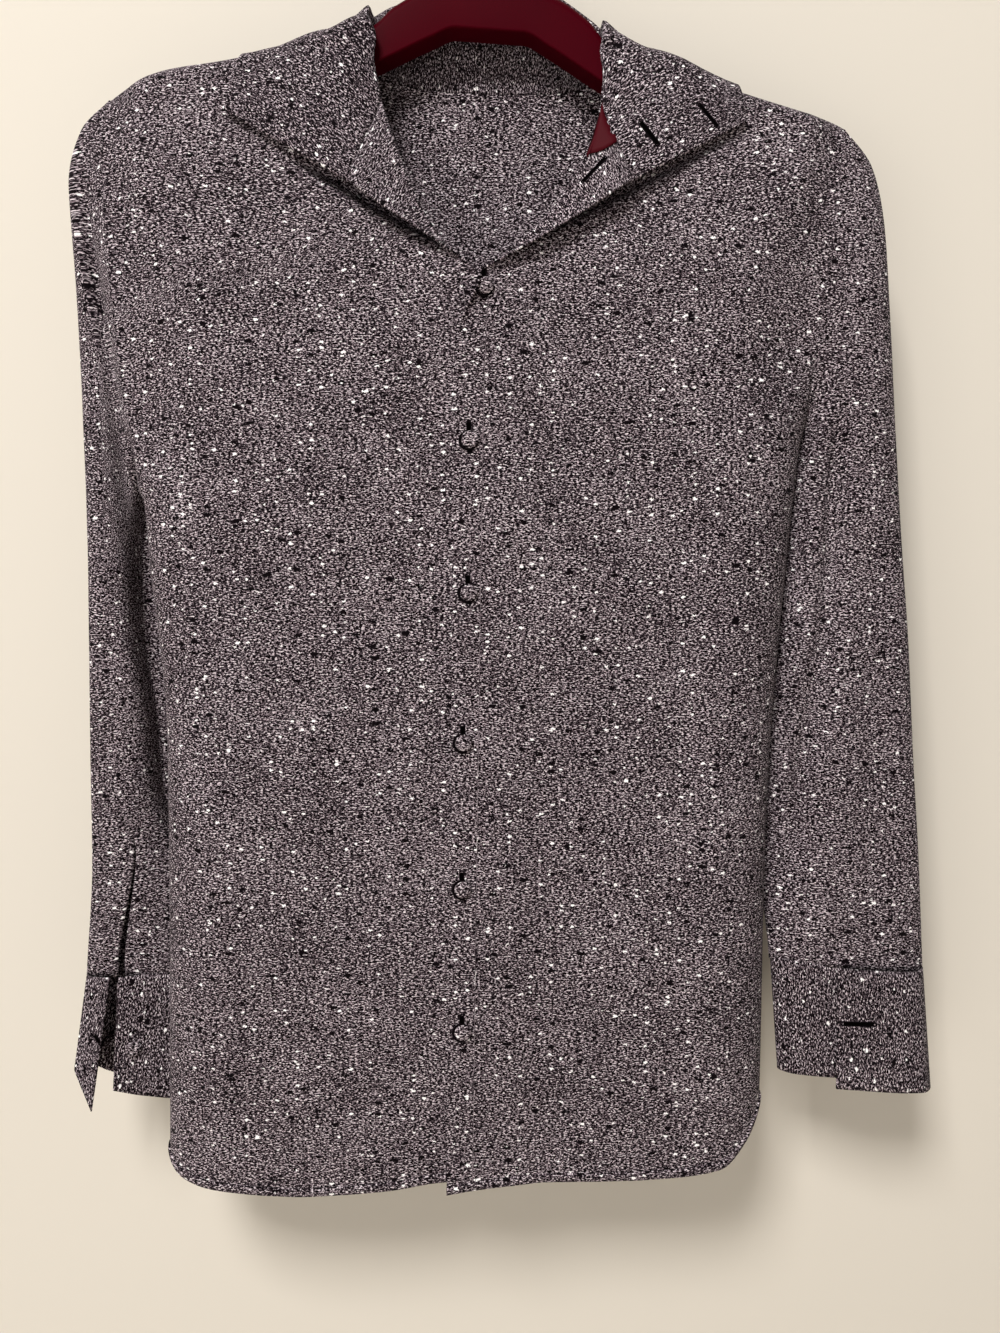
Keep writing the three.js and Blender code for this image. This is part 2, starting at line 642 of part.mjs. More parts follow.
piece('back', wall(backRows, CLOTH), CLOTH_COLOUR);
piece('front_right', wall(frontRows('right'), CLOTH), CLOTH_COLOUR);
piece('front_left', wall(frontRows('left'), CLOTH), CLOTH_COLOUR);

// The bare neck label, a thin plate sewn on the left lapel between its roll line and the neck
// seam. It is made from the lapel's own points, moved out.
const LABEL_CLOTH = 0.6;
const LABEL_SEAT = 1.5;
const LABEL_FOOT = { down_roll: 0.088, along_seam: 0.46 };
const labelRows = [0.14, 0.35, 0.57, 0.79, 1].map((down) => [0, 0.25, 0.5, 0.75, 1].map((across) => {
  const at = lerp(LABEL_FOOT.down_roll * down, 0.004, across);
  const part = LABEL_FOOT.along_seam * down * across;
  const place = frontCloth('left', { stretch: 'lapel', part }, at);
  return point(place.x, place.y - LABEL_SEAT, place.z);
}));
piece('neck_label', wall(labelRows, LABEL_CLOTH), LABEL_COLOUR, 0.6);

// The collar band. Each section is a bent line with its bends rounded off.
const COLLAR_SECTIONS = [
  ...[0, 0.03, 0.065, 0.09, 0.11, 0.13, 0.15, 0.17, 0.19, 0.21, 0.225, 0.2375, 0.25, 0.2625, 0.275, 0.3],
  ...[0.32, 0.345, 0.37, 0.4, 0.43, 0.465, 0.5, 0.535, 0.57, 0.6, 0.63, 0.655, 0.68, 0.7],
  ...[0.725, 0.7375, 0.75, 0.7625, 0.775, 0.79, 0.81, 0.83, 0.85, 0.87, 0.89, 0.91, 0.935, 0.97, 1],
];
const COLLAR_BEND = 3.5;
const LONGEST_BEND = 0.4;
const COLLAR_CLEARANCE = 4.1;
const NOTCH_LIFT = 1.4;

// Keeps a point of the collar clear of the shoulder or the chest that it lies on.
function clearOfBody(place, clearance) {
  const axis = read(SHOULDER, 'z', place.x) - SHOULDER_WRAP;
  const reach = SHOULDER_WRAP + clearance;
  const distance = Math.hypot(place.y, place.z - axis);
  if (place.z > axis && distance < reach) {
    place.y *= reach / distance;
    place.z = axis + (place.z - axis) * reach / distance;
  } else if (place.z <= axis && place.y < 0) {
    place.y = Math.min(place.y, bodyDepth('front', place.x, place.z) - clearance);
  } else if (place.z <= axis) {
    place.y = Math.max(place.y, bodyDepth('back', place.x, place.z) + clearance);
  }
  return place;
}

function bentLine(corners) {
  const line = [corners[0]];
  for (let k = 1; k < corners.length - 1; k += 1) {
    const corner = corners[k];
    const [toward, away] = [corners[k - 1], corners[k + 1]].map((other) => {
      const leg = other.clone().sub(corner);
      const reach = Math.min(COLLAR_BEND, leg.length() * LONGEST_BEND);
      return corner.clone().addScaledVector(leg.normalize(), reach);
    });
    const middle = toward.clone().lerp(away, 0.5).lerp(corner, 0.5);
    line.push(toward, middle, away);
  }
  line.push(corners.at(-1));
  return line;
}

function collarSection(at) {
  const corner = (name) => point(...['x', 'y', 'z'].map((axis) => read(COLLAR, `${name}_${axis}`, at)));
  const [fold, over, edge] = ['fold', 'over', 'edge'].map(corner);
  const seam = neckSeam(at);
  const standing = smooth(0.17, 0.21, at) * (1 - smooth(0.79, 0.83, at));
  const start = lerp(SEAM_GAP + 0.8, CLOTH / 2 + SEAM_GAP + 1, standing);
  seam.addScaledVector(fold.clone().sub(seam).normalize(), start);
  seam.y -= NOTCH_LIFT * (smooth(0.11, 0.14, at) * (1 - smooth(0.19, 0.22, at))
    + smooth(0.78, 0.81, at) * (1 - smooth(0.86, 0.89, at)));
  const corners = [seam, fold, fold.clone().lerp(over, 0.5), over, over.clone().lerp(edge, 0.5), edge];
  return bentLine(corners).map((place, k) => (k < 3 ? place : clearOfBody(place, COLLAR_CLEARANCE)));
}

piece('collar', wall(COLLAR_SECTIONS.map(collarSection), COLLAR_CLOTH), COLLAR_COLOUR);

// Sleeves. Places round the tube run down its front layer and back up its back layer, by the
// share of the way from the outer edge to the inner edge.
const LAYER = [0.04, 0.12, 0.24, 0.37, 0.5, 0.63, 0.76, 0.88, 0.96];
const ROUND = [
  { face: 'front', part: 0 },
  ...LAYER.map((part) => ({ face: 'front', part })),
  { face: 'front', part: 1 },
  ...LAYER.toReversed().map((part) => ({ face: 'back', part })),
];
const SLEEVE_ROWS = [
  0, 0.05, 0.1, 0.15, 0.2, 0.26, 0.32, 0.38, 0.45, 0.51, 0.58, 0.64, 0.7, 0.75, 0.8, 0.85, 0.9, 0.95, 1,
];
const ARMHOLE_GAP = 0.9;

function sleevePlace(side, sections, row, { face, part }) {
  const outward = side === 'right' ? -1 : 1;
  if (row === 0) {
    const seam = sideAlong(side, part);
    const y = part === 0 ? 0 : seam[face];
    const free = ARMHOLE_GAP + 1.2 * smooth(0.8, 1, part);
    return point(seam.x + outward * free, part === 1 ? SIDE_SEAM_DEPTH : y, seam.z + (part === 0 ? 0.3 : 0));
  }
  const section = sections[row - 1];
  const layerEnd = face === 'front' ? section.inner_x : section.back_x;
  const end = part === 1 ? (section.inner_x + section.back_x) / 2 : layerEnd;
  const x = lerp(section.outer_x, end, part);
  const z = lerp(section.outer_z, section.inner_z, part);
  const front = lerp(section.front_out, section.front_in, part);
  const back = lerp(section.back_out, section.back_in, part);
  const half = (face === 'front' ? front - back : back - front) / 2;
  const fullness = Math.sqrt(1 - Math.abs(2 * part - 1) ** 2.5);
  return point(x, (front + back) / 2 + half * fullness, z);
}

function sleeveRows(side, sections, troughs) {
  const tracks = ROUND.map((around) => [0, ...sections.map((section) => section.at)].map((at, row) => {
    const place = sleevePlace(side, sections, row, around);
    return { at, x: place.x, y: place.y, z: place.z };
  }));
  return SLEEVE_ROWS.map((at) => tracks.map((track, j) => {
    const place = point(...['x', 'y', 'z'].map((column) => read(track, column, at)));
    const { face, part } = ROUND[j];
    const free = smooth(0, 0.12, at) * Math.sqrt(Math.max(0, 1 - (2 * part - 1) ** 4));
    const depth = troughDepth(troughs, place.x, place.z) * free;
    place.y += face === 'front' ? depth : -0.5 * depth;
    return place;
  }));
}

const sleeves = {
  left: sleeveRows('left', SLEEVE_LEFT, SLEEVE_LEFT_TROUGHS),
  right: sleeveRows('right', SLEEVE_RIGHT, SLEEVE_RIGHT_TROUGHS),
};
piece('sleeve_left', wall(sleeves.left, CLOTH, true), CLOTH_COLOUR);

// The right sleeve's slit, from its top down through the sleeve's foot, in the front layer only.
const SLIT = { corners: [[-239, -594], [-259, -690], [-254, -690]], front: -30, back: 14.5 };
piece('sleeve_right', slitted(wall(sleeves.right, CLOTH, true), SLIT), CLOTH_COLOUR);

// Cuffs: each an open band, lapped on the left wrist and turned out on the right one.
const CUFF_STEPS = 18;

function cuffEdge(rows, name, around) {
  return point(...['x', 'y', 'z'].map((axis) => read(rows, `${name}_${axis}`, around)));
}

function cuffRows(rows) {
  return Array.from({ length: CUFF_STEPS + 1 }, (_, i) => {
    const [top, low] = ['top', 'low'].map((name) => cuffEdge(rows, name, i / CUFF_STEPS));
    return [0, 0.5, 1].map((part) => top.clone().lerp(low, part));
  });
}

const cuffs = { left: cuffRows(CUFF_LEFT), right: cuffRows(CUFF_RIGHT) };
piece('cuff_left', wall(cuffs.left, COLLAR_CLOTH), COLLAR_COLOUR);
piece('cuff_right', wall(cuffs.right, COLLAR_CLOTH), COLLAR_COLOUR);

// Buttons: domed discs covered with cloth, each on the point and along the normal of its panel.
const BUTTON_PROFILE = [[0, 0], [0.9, 0], [1, 0.3], [0.92, 0.65], [0.55, 0.95], [0, 1]];
const BUTTON_SIDES = 10;

function button(name, place, normal) {
  const profile = BUTTON_PROFILE.map(([radius, height]) => (
    new THREE.Vector2(radius * BUTTON_DIAMETER / 2, height * BUTTON_THICKNESS)));
  const mesh = piece(name, new THREE.LatheGeometry(profile, BUTTON_SIDES), COLLAR_COLOUR, 0.8);
  mesh.position.copy(place);
  mesh.quaternion.setFromUnitVectors(point(0, 1, 0), normal.clone().normalize());
}

// The buttons of the front, down its middle.
const FRONT_BUTTONS = table('at x z', [
  [1, -9, -247],
  [2, -18.3, -339.5],
  [3, -19.1, -432.5],
  [4, -22.4, -525.5],
  [5, -23.3, -618.5],
  [6, -23.5, -711],
]);
const BUTTON_SEAT = CLOTH / 2 + 0.65;

// A button on a panel, given the point it is sewn on, a point beside it and a point below it.
// Its face turns to the viewer (-1) or away (1).
function buttonOn(name, seat, [origin, beside, below], away) {
  const normal = beside.clone().sub(origin).cross(below.clone().sub(origin)).normalize();
  if (normal.y * away < 0) normal.negate();
  button(name, origin.clone().addScaledVector(normal, seat), normal);
}

for (const { at, x, z } of FRONT_BUTTONS) {
  const over = (1 - smooth(4, 30, x)) * OVERLAP_STEP;
  const y = bodyDepth('front', x, z) - over - BUTTON_SEAT;
  button(`button_front_${at}`, point(x, y, z), point(0, -1, 0));
}

// Buttons on the hidden face of the right lapel and of the right end of the collar.
const lapelPlace = (part, at) => frontCloth('right', { stretch: 'lapel', part }, at);
const lapelSeat = [lapelPlace(0.7, 0.07), lapelPlace(0.9, 0.07), lapelPlace(0.7, 0.1)];
buttonOn('button_lapel', BUTTON_SEAT, lapelSeat, 1);

const COLLAR_BUTTON_AT = 0.045;
const COLLAR_BUTTONS = table('at step', [
  [1, 1],
  [2, 8],
]);
for (const { at, step } of COLLAR_BUTTONS) {
  const [section, next] = [COLLAR_BUTTON_AT, COLLAR_BUTTON_AT + 0.02].map(collarSection);
  const seat = COLLAR_CLOTH / 2 + 0.6;
  buttonOn(`button_collar_${at}`, seat, [section[step], next[step], section[step + 1]], 1);
}

// Buttons of the cuffs, on the end that lies beneath.
const CUFF_BUTTONS = [
  { side: 'left', rows: CUFF_LEFT, at: 0.055, down: 0.5 },
  { side: 'right', rows: CUFF_RIGHT, at: 0.07, down: 0.6 },
];
for (const { side, rows, at, down } of CUFF_BUTTONS) {
  const place = (around, part) => cuffEdge(rows, 'top', around).lerp(cuffEdge(rows, 'low', around), part);
  const seat = COLLAR_CLOTH / 2 + 0.45;
  buttonOn(`button_cuff_${side}`, seat, [place(at, down), place(at + 0.02, down), place(at, down + 0.1)], -1);
}

// The hanger bar, a rounded wooden bar swept from end to end.
const BAR_ROUNDING = 7.5;
const BAR_LOWER_ROUNDING = 2.5;

function barRing(at) {
  const [top, bottom] = [read(BAR, 'top', Math.abs(at)), read(BAR, 'bottom', Math.abs(at))];
  const half = read(BAR, 'thickness', Math.abs(at)) / 2;
  const corner = (y, z, radius, from) => [0, 1, 2, 3].map((k) => {
    const angle = from + k * Math.PI / 6;
    return [y + radius * Math.cos(angle), z + radius * Math.sin(angle)];
  });
  const upper = Math.min(BAR_ROUNDING, half - 0.5);
  const lower = BAR_LOWER_ROUNDING;
  const outline = [
    ...corner(half - upper, top - upper, upper, 0),
    ...corner(upper - half, top - upper, upper, Math.PI / 2),
    ...corner(lower - half, bottom + lower, lower, Math.PI),
    ...corner(half - lower, bottom + lower, lower, 1.5 * Math.PI),
  ];
  return outline.map(([y, z]) => {
    const place = tilted(at, z);
    return point(place.x, y, place.z);
  });
}

const BAR_STATIONS = [0, 24, 36, 48, 60, 66, 72, 84, 100, 120, 137, 165, 180, 196, 203, 210, 216];
const barStations = [...BAR_STATIONS.slice(1).toReversed().map((at) => -at), ...BAR_STATIONS];
piece('hanger_bar', loft(barStations.map(barRing)), BAR_COLOUR, 0.35);

// The hook: one wire, up out of the bar and round over its crown.
const HOOK_SIDES = 8;
const HOOK_STEM = 24;
const hookMiddle = HOOK_INNER_RADIUS + HOOK_WIRE / 2;
const hookFoot = [[0, BAR[0].top + SEAM_GAP], [0, -52], [3, -46], [11, -39.5]];
const hookLine = hookFoot.map(([x, z]) => ({ x, z }));
for (let k = 0; k <= HOOK_STEM; k += 1) {
  const angle = lerp(-50, 215, k / HOOK_STEM) * Math.PI / 180;
  hookLine.push({ x: hookMiddle * Math.cos(angle), z: hookMiddle * Math.sin(angle) - HOOK_INNER_RADIUS });
}
const hookRings = hookLine.map((place, i) => {
  const [before, after] = [hookLine[Math.max(0, i - 1)], hookLine[Math.min(hookLine.length - 1, i + 1)]];
  const length = Math.hypot(after.x - before.x, after.z - before.z);
  const normal = { x: (after.z - before.z) / length, z: -(after.x - before.x) / length };
  return Array.from({ length: HOOK_SIDES }, (_, k) => {
    const angle = k * 2 * Math.PI / HOOK_SIDES;
    const [side, depth] = [Math.cos(angle) * HOOK_WIRE / 2, Math.sin(angle) * HOOK_WIRE / 2];
    const turned = tilted(place.x + normal.x * side, place.z + normal.z * side);
    return point(turned.x, depth, turned.z);
  });
});
piece('hanger_hook', loft(hookRings), HOOK_COLOUR, 0.25, 1);

export default shirt;
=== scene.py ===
"""A long-sleeved button-down shirt of fine marled cloth, on its burgundy coat hanger.

Metres, with +X to the viewer's right, +Y away from the viewer and +Z up. The origin is the
inner crown of the hanger's hook. "Right" and "left" in names are the wearer's.
"""
import math

import bmesh
import bpy
import numpy as np
from mathutils import Matrix, Vector, noise
from mathutils.bvhtree import BVHTree


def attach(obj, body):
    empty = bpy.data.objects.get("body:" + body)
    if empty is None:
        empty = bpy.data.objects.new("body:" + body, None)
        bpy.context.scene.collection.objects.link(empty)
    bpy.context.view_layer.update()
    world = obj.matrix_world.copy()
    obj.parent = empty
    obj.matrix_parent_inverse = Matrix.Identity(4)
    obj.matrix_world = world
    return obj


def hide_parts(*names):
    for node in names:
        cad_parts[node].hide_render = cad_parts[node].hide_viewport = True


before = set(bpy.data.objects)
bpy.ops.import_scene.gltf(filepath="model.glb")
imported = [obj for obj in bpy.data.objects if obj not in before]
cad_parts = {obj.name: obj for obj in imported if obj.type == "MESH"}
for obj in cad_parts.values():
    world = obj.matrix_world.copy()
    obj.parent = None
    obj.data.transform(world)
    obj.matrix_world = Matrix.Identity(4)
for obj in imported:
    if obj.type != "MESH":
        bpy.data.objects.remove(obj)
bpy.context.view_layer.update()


# The hanger's bar: one piece of hardwood, shaped with a raised neck and sloping arms, rounded
# above and nearly square below, and sprayed with burgundy lacquer. It hangs a little askew.
def table(columns, rows):
    """Names the columns of a table of rows."""
    return {name: np.array(column, float) for name, column in zip(columns.split(), zip(*rows))}


def read(rows, column, at):
    """Reads a column of a table at places between its rows, smoothly and without overshoot."""
    ends, values = rows["at"], rows[column]
    slope = np.diff(values) / np.diff(ends)
    before, after = slope[:-1], slope[1:]
    same_way = before * after > 0
    mean = 2 * before * after / np.where(same_way, before + after, 1)
    tangent = np.concatenate([slope[:1], np.where(same_way, mean, 0), slope[-1:]])
    at = np.asarray(at, float)
    i = np.clip(np.searchsorted(ends, at) - 1, 0, len(ends) - 2)
    span = ends[i + 1] - ends[i]
    t = np.clip((at - ends[i]) / span, 0, 1)
    start = values[i] * (1 + 2 * t) + tangent[i] * span * t
    end = values[i + 1] * (3 - 2 * t) - tangent[i + 1] * span * (1 - t)
    return start * (1 - t) ** 2 + end * t ** 2


def smooth(start, end, value):
    """Rises from 0 to 1 between two values."""
    t = np.clip((value - start) / (end - start), 0, 1)
    return t * t * (3 - 2 * t)


def window(start, full, ease, end, value):
    """Rises from 0 to 1 between two values, and falls back between two later ones."""
    return smooth(start, full, value) * (1 - smooth(ease, end, value))


def mix(start, end, share):
    """The value at a share of the way from a start to an end."""
    return start + (end - start) * share


def stack(x, y, z):
    """Points from their coordinates, which may be grids or single numbers."""
    return np.stack(np.broadcast_arrays(x, y, z), axis=-1).astype(float)


def lengths(points, axis):
    """How far along the surface each point of a grid lies from the grid's edge."""
    steps = np.linalg.norm(np.diff(points, axis=axis), axis=-1)
    zero = np.zeros_like(steps.take([0], axis=axis))
    return np.cumsum(np.concatenate([zero, steps], axis=axis), axis=axis)


def lay_flat(mesh, flat_place):
    """Smooths a mesh and gives it a UV map of flat coordinates in metres."""
    uv = mesh.loops.layers.uv.new("flat")
    for face in mesh.faces:
        face.smooth = True
        for loop in face.loops:
            loop[uv].uv = flat_place(loop.vert)


def grid_piece(name, points, flat=None, capped=False):
    """A surface on a grid of points in millimetres, with its flat coordinates in its UV map."""
    rows, columns = points.shape[:2]
    if flat is None:
        flat = np.stack([lengths(points, 1), lengths(points, 0)], axis=-1)
    flat = flat.reshape(-1, 2) / 1000
    mesh = bmesh.new()
    bmesh.ops.create_grid(mesh, x_segments=columns - 1, y_segments=rows - 1, size=1)
    mesh.verts.ensure_lookup_table()
    lay_flat(mesh, lambda vertex: flat[vertex.index])
    for vertex, place in zip(mesh.verts, points.reshape(-1, 3) / 1000):
        vertex.co = place
    bmesh.ops.remove_doubles(mesh, verts=mesh.verts, dist=WELD)
    if capped:
        bmesh.ops.holes_fill(mesh, edges=mesh.edges, sides=0)
        bmesh.ops.recalc_face_normals(mesh, faces=mesh.faces)
    return finished(name, mesh)


def finished(name, mesh):
    """Makes an object of a bmesh."""
    data = bpy.data.meshes.new(name)
    mesh.to_mesh(data)
    mesh.free()
    made = bpy.data.objects.new(name, data)
    bpy.context.scene.collection.objects.link(made)
    return made


def linear(hex_colour):
    """A colour for a shader from its sRGB hex value."""
    parts = [int(hex_colour[i:i + 2], 16) / 255 for i in (1, 3, 5)]
    return (*[p / 12.92 if p <= 0.04045 else ((p + 0.055) / 1.055) ** 2.4 for p in parts], 1)


def add(material, kind, settings=None, links=None):
    """Adds a node to a material, with its settings and its links from sockets or whole nodes."""
    made = material.node_tree.nodes.new("ShaderNode" + kind)
    for key, value in (settings or {}).items():
        if isinstance(key, int) or key in made.inputs:
            made.inputs[key].default_value = value
        else:
            setattr(made, key, value)
    for key, source in (links or {}).items():
        socket = source.outputs[0] if isinstance(source, bpy.types.Node) else source
        material.node_tree.links.new(socket, made.inputs[key])
    return made


def new_material(name):
    """A material without nodes."""
    material = bpy.data.materials.new(name)
    material.use_nodes = True
    material.node_tree.nodes.clear()
    return material


def dress(piece, material, slot, *nodes):
    """Gives a piece its material and its place in the object."""
    piece.data.materials.append(material)
    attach(piece, "root")
    if nodes:
        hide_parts(*nodes)


WELD = 1e-6
BAR = table("at top bottom thickness", [
    (0, -62, -88.4, 17),
    (21, -62, -88.4, 17),
    (36, -63.5, -95, 17),
    (60, -76, -108, 17),
    (72, -88, -114.5, 17),
    (100, -99, -127, 17),
    (137, -108.5, -138, 17),
    (165, -115.5, -143.5, 17),
    (196, -122.5, -147, 15),
    (208, -128.5, -148.5, 12),
    (216, -135.5, -146.5, 7),
])
BAR_TILT = math.radians(4)
ARM_DROP, ARM_DROP_SPAN = 2.0, (95, 150, 205, 235)
BAR_ROUNDING, BAR_LOWER_ROUNDING = 7.5, 1.6
BAR_TIP_LENGTH = 9
LACQUER_COLOUR = "#45000c"
LACQUER_DEEP_COLOUR = "#37000a"


def tilted(x, z):
    """Turns a place in the hanger's upright frame to the frame of the whole object."""
    cosine, sine = math.cos(BAR_TILT), math.sin(BAR_TILT)
    return x * cosine + z * sine, z * cosine - x * sine - ARM_DROP * window(*ARM_DROP_SPAN, -x)


def bar_ring(at):
    """The outline of the bar at one distance from its middle."""
    top, bottom = read(BAR, "top", abs(at)), read(BAR, "bottom", abs(at))
    half = read(BAR, "thickness", abs(at)) / 2
    upper = min(BAR_ROUNDING, half - 0.5)
    corners = [
        (half - upper, top - upper, upper, 0),
        (upper - half, top - upper, upper, 90),
        (BAR_LOWER_ROUNDING - half, bottom + BAR_LOWER_ROUNDING, BAR_LOWER_ROUNDING, 180),
        (half - BAR_LOWER_ROUNDING, bottom + BAR_LOWER_ROUNDING, BAR_LOWER_ROUNDING, 270),
    ]
    angles = np.radians(np.linspace(0, 90, 9))
    outline = [(y + r * np.cos(angles + math.radians(a)), z + r * np.sin(angles + math.radians(a)))
               for y, z, r, a in corners]
    y, z = np.hstack(outline)
    x, z = tilted(at, z)
    ring = stack(x, y, z)
    return np.vstack([ring, ring[:1]])


bar_tip = BAR["at"][-1]
bar_ends = bar_tip - BAR_TIP_LENGTH * (1 - np.linspace(0, 1, 8)) ** 2
bar_arm = np.concatenate([np.linspace(0, bar_tip - BAR_TIP_LENGTH, 90)[:-1], bar_ends])
bar_stations = np.concatenate([-bar_arm[:0:-1], bar_arm])
hanger_bar = grid_piece("bar", np.array([bar_ring(at) for at in bar_stations]), capped=True)

# Sprayed lacquer on wood gives an even, deep burgundy with a satin gloss and a faint orange peel.
lacquer = new_material("burgundy_lacquer")
place = add(lacquer, "TexCoord").outputs["Object"]
cloudy = add(lacquer, "TexNoise", {"Scale": 14, "Detail": 3}, {"Vector": place})
lacquer_ends = {6: linear(LACQUER_DEEP_COLOUR), 7: linear(LACQUER_COLOUR)}
tone = add(lacquer, "Mix", {"data_type": "RGBA", **lacquer_ends}, {0: cloudy})
peel = add(lacquer, "TexNoise", {"Scale": 900, "Detail": 1}, {"Vector": place})
skin = add(lacquer, "Bump", {"Strength": 0.12, "Distance": 0.0003}, {"Height": peel})
coat = add(lacquer, "BsdfPrincipled", {"Roughness": 0.5, "Specular IOR Level": 0.02},
           {"Base Color": tone.outputs[2], "Normal": skin})
add(lacquer, "OutputMaterial", {}, {"Surface": coat})
dress(hanger_bar, lacquer, "hanger_bar", "hanger_bar")


# The hook: a single steel wire, screwed into the top of the bar and bent over a crown.
HOOK_WIRE = 4.4
HOOK_INNER_RADIUS = 20
HOOK_STEM = [(0, -61.7), (0, -56), (0, -52), (1, -48.5), (3, -46), (6.5, -42.5), (11, -39.5)]
HOOK_FROM, HOOK_TO = -50, 215
STEEL_COLOUR = "#b9b6b0"


def wire(name, line, radius, sides=7, ring=False):
    """A round wire along a line of points in millimetres, which may join up into a ring."""
    way = np.roll(line, -1, axis=0) - np.roll(line, 1, axis=0) if ring else np.gradient(line, axis=0)
    side = np.cross(way, (0, 1, 0))
    up = np.cross(side, way)
    side, up = (v[:, None] / np.linalg.norm(v, axis=1)[:, None, None] for v in (side, up))
    turns = np.linspace(0, math.tau, sides + 1)[:, None]
    points = line[:, None] + radius * (side * np.cos(turns) + up * np.sin(turns))
    points[:, -1] = points[:, 0]
    return grid_piece(name, np.concatenate([points, points[:1]]) if ring else points, capped=True)


hook_middle = HOOK_INNER_RADIUS + HOOK_WIRE / 2
hook_turns = np.radians(np.linspace(HOOK_FROM, HOOK_TO, 70))
hook_bend = [(hook_middle * math.cos(a), hook_middle * math.sin(a) - HOOK_INNER_RADIUS) for a in hook_turns]
hook_x, hook_z = tilted(*np.array(HOOK_STEM + hook_bend).T)
hanger_hook = wire("hook", stack(hook_x, 0, hook_z), HOOK_WIRE / 2, 16)

# Drawn steel wire is pale grey with soft streaks along its length.
steel = new_material("drawn_steel")
place = add(steel, "TexCoord").outputs["Object"]
streaks = add(steel, "TexNoise", {"Scale": 60, "Detail": 4}, {"Vector": place})
sheen = add(steel, "MapRange", {"To Min": 0.22, "To Max": 0.38}, {0: streaks})
metal = add(steel, "BsdfPrincipled", {"Base Color": linear(STEEL_COLOUR), "Metallic": 1},
            {"Roughness": sheen})
add(steel, "OutputMaterial", {}, {"Surface": metal})
dress(hanger_hook, steel, "hanger_hook", "hanger_hook")


# The back: one panel of a light crepe with no yoke. It bends over the hanger at the shoulders,
# hangs straight from there, and is seamed to the fronts at the shoulders and the sides.
CLOTH = 1.0
SHOULDER_WRAP = 11.5
SHOULDER_REST, REST_FROM, REST_TO = 1.4, 60, 200
SEAM_GAP = 0.2
BODY_MIDDLE = -22
SHOULDER_ENDS = table("at z", [
    (-242, -152.5), (-231, -142), (-214, -128.6), (214, -125), (231, -131.5),
])
# How far the cloth hangs out in front of the hanger's middle and behind it, going down.
HANG = table("at front back", [
    (80, 0, 0),
    (113, 1.2, 6),
    (135, 2.2, 7),
    (186, 6.5, 8),
    (250, 11.5, 9),
    (340, 14.5, 9.5),
    (500, 16.5, 9),
    (650, 16.5, 8),
    (830, 12.5, 6),
])
# The armhole seams, and below them the side seams, by the depth below the hook's crown.
ARMHOLE_RIGHT = table("at x front back", [
    (126.6, -243, -0.8, 0.8),
    (134, -244.5, -4.4, 4.4),
    (157, -246, -7, 9),
    (201, -245, -9.5, 13),
    (250, -241.5, -10, 15),
    (299, -237.5, -9, 15),
    (336, -233, -6, 12),
    (367, -231, 1.8, 2.2),
])
ARMHOLE_LEFT = table("at x front back", [
    (144, 214.6, -0.8, 0.8),
    (152, 213.5, -4.4, 4.4),
    (176, 210.5, -7, 9),
    (214, 206, -9.5, 13),
    (250, 202, -10, 15),
    (280.5, 198, -9, 15),
    (310, 194.6, -6, 12),
    (328, 193.6, 1.8, 2.2),
])
SIDE_RIGHT = table("at x", [
    (367, -231), (375, -227.5), (423, -224), (459, -220), (526, -216), (632, -217), (772, -220),
    (830, -221.5),
])
SIDE_LEFT = table("at x", [
    (328, 193.6), (338, 191), (361, 188.5), (430, 182.3), (501, 177.2), (566, 174), (632, 173.2),
    (748, 173), (830, 171),
])
# The neck seam, from the right lapel's corner round the back of the neck to the left one's.
NECK_SEAM = table("at x y z", [
    (0, -92, -29, -186),
    (0.065, -82.5, -22.5, -160),
    (0.13, -73, -15.6, -132),
    (0.19, -79, -12.6, -106),
    (0.225, -83, -10.9, -91.5),
    (0.2375, -83.8, -8, -86.3),
    (0.25, -84, 0, -83),
    (0.2625, -83.8, 8, -86.3),
    (0.275, -83, 10.9, -91.5),
    (0.32, -73, 15, -103),
    (0.37, -56, 17, -110),
    (0.43, -30, 17.8, -113),
    (0.5, -5, 18, -114),
    (0.57, 18, 17.8, -114.5),
    (0.63, 42, 17, -113.5),
    (0.68, 57, 15, -109),
    (0.725, 66.2, 10.9, -99.8),
    (0.7375, 66.8, 8, -94.6),
    (0.75, 67, 0, -91.3),
    (0.7625, 66.8, -8, -94.6),
    (0.775, 66.2, -10.9, -99.8),
    (0.81, 64, -12.4, -114),
    (0.87, 62, -15.6, -135),
    (0.935, 71, -22.5, -161),
    (1, 80, -29, -186),
])
HEM_BACK = table("at z", [
    (-222, -803), (-205, -815), (-150, -825), (-25, -829), (90, -825), (145, -812), (160, -795),
    (172, -771),
])
TROUGH_COLUMNS = "x_top z_top x_bottom z_bottom width depth"
# The body's large folds and its small creases, each from its top to its bottom.
BODY_TROUGHS = table(TROUGH_COLUMNS, [
    (-172, -215, -184, -560, 26, 3.2),
    (-110, -330, -92, -760, 34, 1.8),
    (-50, -260, -42, -830, 18, 1.6),
    (50, -420, 28, -840, 30, 1.6),
    (125, -250, 96, -640, 30, 2.2),
])
BODY_CREASES = table(TROUGH_COLUMNS, [
    (-205, -330, -196, -600, 9, 1.1),
    (-150, -400, -140, -700, 15, 0.9),
    (-75, -300, -70, -520, 12, 0.7),
    (-120, -170, -150, -330, 12, 0.8),
    (75, -300, 70, -560, 14, 0.8),
    (150, -330, 146, -720, 11, 1.0),
    (100, -560, 112, -800, 16, 0.8),
    (165, -300, 160, -470, 8, 0.9),
    (-20, -500, -12, -780, 11, 0.6),
])
UNDERARM_ROW = 0.42
NECK_FADE = 0.03
SIDE_SEAM_DEPTH, SIDE_SEAM_HALF_GAP = 2, 0.15
SEAM_EASE = 1.2
HANG_FADE, CREASE_FADE, RIPPLE_FADE = (0, 50), (20, 80), (10, 60)
CREASE_MIRROR = 40
